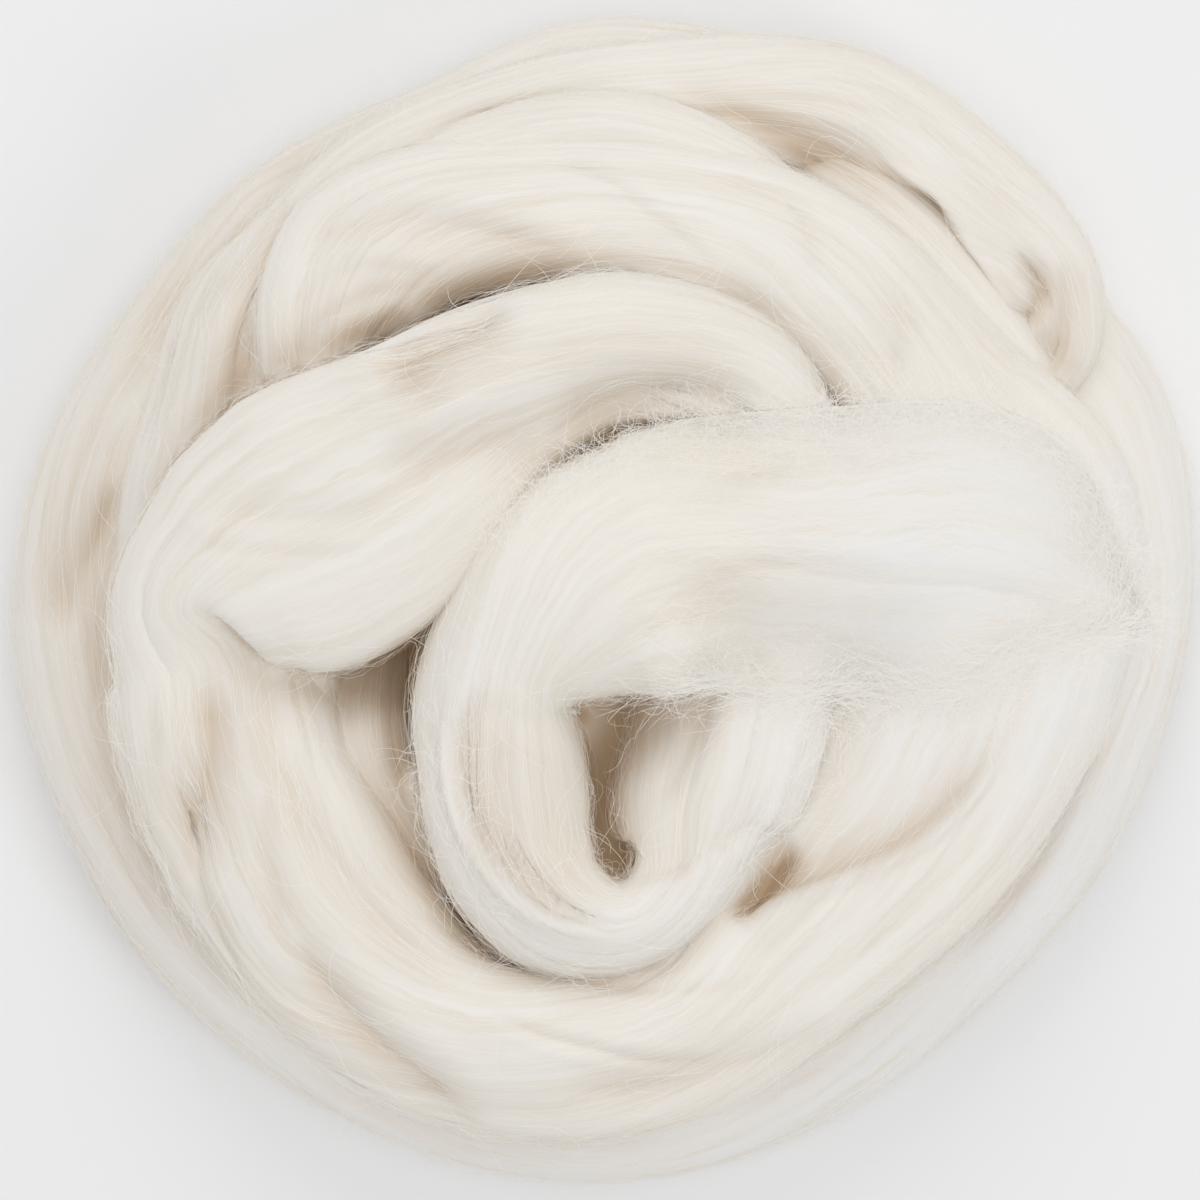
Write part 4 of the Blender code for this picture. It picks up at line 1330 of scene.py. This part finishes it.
def ramp_between(tree, value, low, high):
    """A number stretched so that low becomes 0 and high becomes 1."""
    node = tree.nodes.new("ShaderNodeMapRange")
    fill(tree, node.inputs["Value"], value)
    node.inputs["From Min"].default_value = low
    node.inputs["From Max"].default_value = high
    return node.outputs["Result"]


print("helpers for values, mixes, sums and ramps are ready")

# %% Noise and group helpers
def stretched_noise(tree, vector, along, across, detail):
    """Noise with so many waves a metre along the strand and across it."""
    mapping = tree.nodes.new("ShaderNodeMapping")
    mapping.inputs["Scale"].default_value = (along, across, 1)
    tree.links.new(vector, mapping.inputs["Vector"])
    noise = tree.nodes.new("ShaderNodeTexNoise")
    noise.inputs["Scale"].default_value = 1.0
    noise.inputs["Detail"].default_value = detail
    noise.inputs["Roughness"].default_value = 0.6
    tree.links.new(mapping.outputs["Vector"], noise.inputs["Vector"])
    return noise.outputs["Fac"]


def shifted(tree, vector, across):
    """A position on the fibre map moved by a distance across the strand."""
    node = tree.nodes.new("ShaderNodeVectorMath")
    node.operation = "ADD"
    offset = tree.nodes.new("ShaderNodeCombineXYZ")
    fill(tree, offset.inputs["Y"], across)
    fill(tree, node.inputs[0], vector)
    fill(tree, node.inputs[1], offset.outputs["Vector"])
    return node.outputs["Vector"]


def new_group(name, entries, results):
    """A node group with named sockets: its tree, what goes into it and what comes out."""
    tree = bpy.data.node_groups.new(name, "ShaderNodeTree")
    for way, sockets in (("INPUT", entries), ("OUTPUT", results)):
        for socket, kind in sockets.items():
            tree.interface.new_socket(socket, in_out=way, socket_type="NodeSocket" + kind)
    return tree, tree.nodes.new("NodeGroupInput").outputs, tree.nodes.new("NodeGroupOutput").inputs


def place_group(tree, group, values):
    """A group's node with its inputs set or linked."""
    node = tree.nodes.new("ShaderNodeGroup")
    node.node_tree = group
    for name, value in values.items():
        fill(tree, node.inputs[name], value)
    return node


print("helpers for noise and node groups are ready")

# %% Combed fibre groups
NO_GLOW = (0, 0, 0, 1)
PAINTED_GLOW = (0.030, 0.022, 0.014, 1)      # painted light: a faint glow in the hollows that stands in for light the wool passes on


def combed_fibre_group():
    """The wool's colour with its painted shade, its painted glow, and its fine relief, read along and
    across its fibres.
    """
    tree, given, result = new_group(
        "combed fibre",
        dict(Fibre="Vector", PaintedShade="Float", PaleCool="Float", Light="Color", Shade="Color",
             Pale="Color", Warm="Color", Deep="Color", Streak="Float"),
        dict(Colour="Color", Glow="Color", Height="Float"))
    coarse = stretched_noise(tree, given["Fibre"], 120, 160, 1.0)
    crimp = stretched_noise(tree, given["Fibre"], 500, 500, 1.0)
    wavy = shifted(tree, given["Fibre"], weighted_sum(tree, (coarse, 0.0022), (crimp, 0.0007)))
    bundles = stretched_noise(tree, wavy, 9, 200, 2.0)
    streaks = stretched_noise(tree, wavy, 30, 1100, 2.0)
    hairs = stretched_noise(tree, wavy, 70, 3600, 2.0)
    lines = ramp_between(tree, stretched_noise(tree, wavy, 24, 460, 2.0), 0.48, 0.78)
    patches = ramp_between(tree, stretched_noise(tree, given["Fibre"], 22, 55, 1.0), 0.36, 0.60)
    tone = weighted_sum(tree, (bundles, 0.9), (streaks, 0.55), (hairs, 0.2))
    # the colour is made paler and cooler by the second mark, which is set by place on the nest
    light = mix_colour(tree, given["PaleCool"], given["Light"], given["Pale"])
    half_pale_cool = math_node(tree, "MULTIPLY", given["PaleCool"], 0.5)
    shade = mix_colour(tree, half_pale_cool, given["Shade"], given["Pale"])
    surface = mix_colour(tree, ramp_between(tree, tone, 0.65, 1.00), shade, light)
    warm = math_node(tree, "MULTIPLY", math_node(tree, "MULTIPLY", lines, patches), given["Streak"])
    streaky = mix_colour(tree, warm, surface, given["Warm"])
    # painted shade towards the shadowed colour, and a painted glow, both by the mark of painted shade
    fill(tree, result["Colour"], mix_colour(tree, given["PaintedShade"], streaky, given["Deep"]))
    fill(tree, result["Glow"], mix_colour(tree, given["PaintedShade"], NO_GLOW, PAINTED_GLOW))
    fill(tree, result["Height"], weighted_sum(tree, (streaks, 0.7), (hairs, 0.3)))
    return tree


def fibre_shade_group():
    """A fibre's colour in the open, and with painted shade and painted glow deep down."""
    tree, given, result = new_group("fibre by depth", dict(PaintedShade="Float", Open="Color", Deep="Color"),
                                    dict(Colour="Color", Glow="Color"))
    fill(tree, result["Colour"], mix_colour(tree, given["PaintedShade"], given["Open"], given["Deep"]))
    fill(tree, result["Glow"], mix_colour(tree, given["PaintedShade"], NO_GLOW, PAINTED_GLOW))
    return tree


combed, by_shade = combed_fibre_group(), fibre_shade_group()
print("group sockets:", [item.name for item in combed.interface.items_tree])

# %% Wool material
WOOL_LIGHT = (0.93, 0.905, 0.86, 1)
WOOL_SHADE = (0.885, 0.835, 0.76, 1)
WOOL_PALE = (0.90, 0.90, 0.90, 1)
WOOL_WARM = (0.80, 0.71, 0.58, 1)
# the colour that painted shade turns the wool to
WOOL_SHADOWED = (0.56, 0.42, 0.28, 1)
FIBRE_OPEN = (0.93, 0.91, 0.87, 1)
# the colour that painted shade turns a fibre to
FIBRE_SHADOWED = (0.71, 0.59, 0.45, 1)
STREAK = 0.62              # how far the warm streaks go towards their colour
WOOL_SURFACE = {"Roughness": 0.85, "Specular IOR Level": 0.2, "Sheen Weight": 0.25,
                "Sheen Roughness": 0.5, "Sheen Tint": (1.0, 0.97, 0.92, 1), "Emission Strength": 1.0}


def new_material(name, surface):
    """A material with its surface set: itself, its node tree and the shader's inputs."""
    material = bpy.data.materials.new(name)
    material.use_nodes = True
    shader = material.node_tree.nodes["Principled BSDF"]
    for entry, value in surface.items():
        shader.inputs[entry].default_value = value
    return material, material.node_tree, shader.inputs


def attribute(tree, name):
    """What a mesh says about each of its points."""
    node = tree.nodes.new("ShaderNodeAttribute")
    node.attribute_name = name
    return node.outputs["Fac"]


def combed_wool():
    """The turns' material: the combed fibre group and a fine bump."""
    material, tree, shader = new_material("combed wool", WOOL_SURFACE)
    uv = tree.nodes.new("ShaderNodeUVMap")
    uv.uv_map = "Fibre"
    fibre = place_group(tree, combed, {
        "Fibre": uv.outputs["UV"], "PaintedShade": attribute(tree, "painted_shade"),
        "PaleCool": attribute(tree, "pale_cool"), "Light": WOOL_LIGHT, "Shade": WOOL_SHADE,
        "Pale": WOOL_PALE, "Warm": WOOL_WARM, "Deep": WOOL_SHADOWED, "Streak": STREAK})
    bump = tree.nodes.new("ShaderNodeBump")
    bump.inputs["Strength"].default_value = 0.8
    bump.inputs["Distance"].default_value = 0.00005
    fill(tree, shader["Base Color"], fibre.outputs["Colour"])
    fill(tree, shader["Emission Color"], fibre.outputs["Glow"])
    fill(tree, bump.inputs["Height"], fibre.outputs["Height"])
    fill(tree, shader["Normal"], bump.outputs["Normal"])
    return material


def single_fibre():
    """The fibres' material: their colour gets painted shade by how deep they lie."""
    material, tree, shader = new_material("single wool fibre", {**WOOL_SURFACE, "Roughness": 0.6})
    depth = place_group(tree, by_shade, {"PaintedShade": attribute(tree, "painted_shade"), "Open": FIBRE_OPEN,
                                         "Deep": FIBRE_SHADOWED})
    fill(tree, shader["Base Color"], depth.outputs["Colour"])
    fill(tree, shader["Emission Color"], depth.outputs["Glow"])
    return material


for material, objects in ((combed_wool(), [piece.obj for piece in pieces.values()]),
                          (single_fibre(), fibre_objects)):
    material.cycles.emission_sampling = "NONE"       # the glow is too faint to be worth aiming at
    for obj in objects:
        obj.data.materials.append(material)
    print(material.name, "on", len(objects), "pieces")

# %% [markdown]
# ## Floor and light
#
# A pale floor and a pale world give soft light from all sides.  The key lamp on the right and in
# front makes the roundness readable and puts the faint shadow to the left and behind.  A broader
# lamp behind brightens the far flanks, and a third one above evens out the rest.

# %% Floor
def make_floor():
    """A wide plane a fifth of a millimetre below the nest, which isn't part of it."""
    bpy.ops.object.select_all(action="DESELECT")
    bpy.ops.mesh.primitive_plane_add(size=6.0, location=(0, 0, -0.0002))
    floor = bpy.context.object
    floor.name = "floor"
    material, _, _ = new_material("pale floor", {"Base Color": (0.945, 0.945, 0.95, 1),
                                                 "Roughness": 0.9, "Specular IOR Level": 0.1})
    floor.data.materials.append(material)


make_floor()

# %% Lights
def soft_lamp(name, place, size, power):
    """A round lamp that shines at the nest, its place and size in metres."""
    data = bpy.data.lights.new(name, "AREA")
    data.shape = "DISK"
    data.size = size
    data.energy = power
    lamp = link_object(name, data)
    lamp.location = place
    lamp.rotation_euler = (-Vector(place)).to_track_quat("-Z", "Y").to_euler()


soft_lamp("key lamp", (1.15, -0.85, 1.35), 0.6, 3.4)
soft_lamp("back lamp", (-0.1, 1.5, 1.3), 1.2, 7)
soft_lamp("top lamp", (0.1, -0.1, 2.2), 1.4, 6.0)
world = bpy.data.worlds.new("pale studio")
world.use_nodes = True
studio = world.node_tree.nodes["Background"].inputs
studio["Color"].default_value = (1.0, 1.0, 1.0, 1)
studio["Strength"].default_value = 0.61
bpy.context.scene.world = world
bpy.context.scene.view_settings.view_transform = "Standard"

# %% [markdown]
# ## Attach each piece to the body
#
# Every piece rides on the imported body and stands for the imported solid it belongs to, which is
# hidden.  The loose end is a layer laid on the turns.

# %% Attach the pieces
for obj in [piece.obj for piece in pieces.values()] + fibre_objects:
    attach(obj, "root")
    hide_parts("loose_end" if "loose" in obj.name else "wool_coil")
loose = upper[:root + 1]
print("CAD box", CAD_BOX)
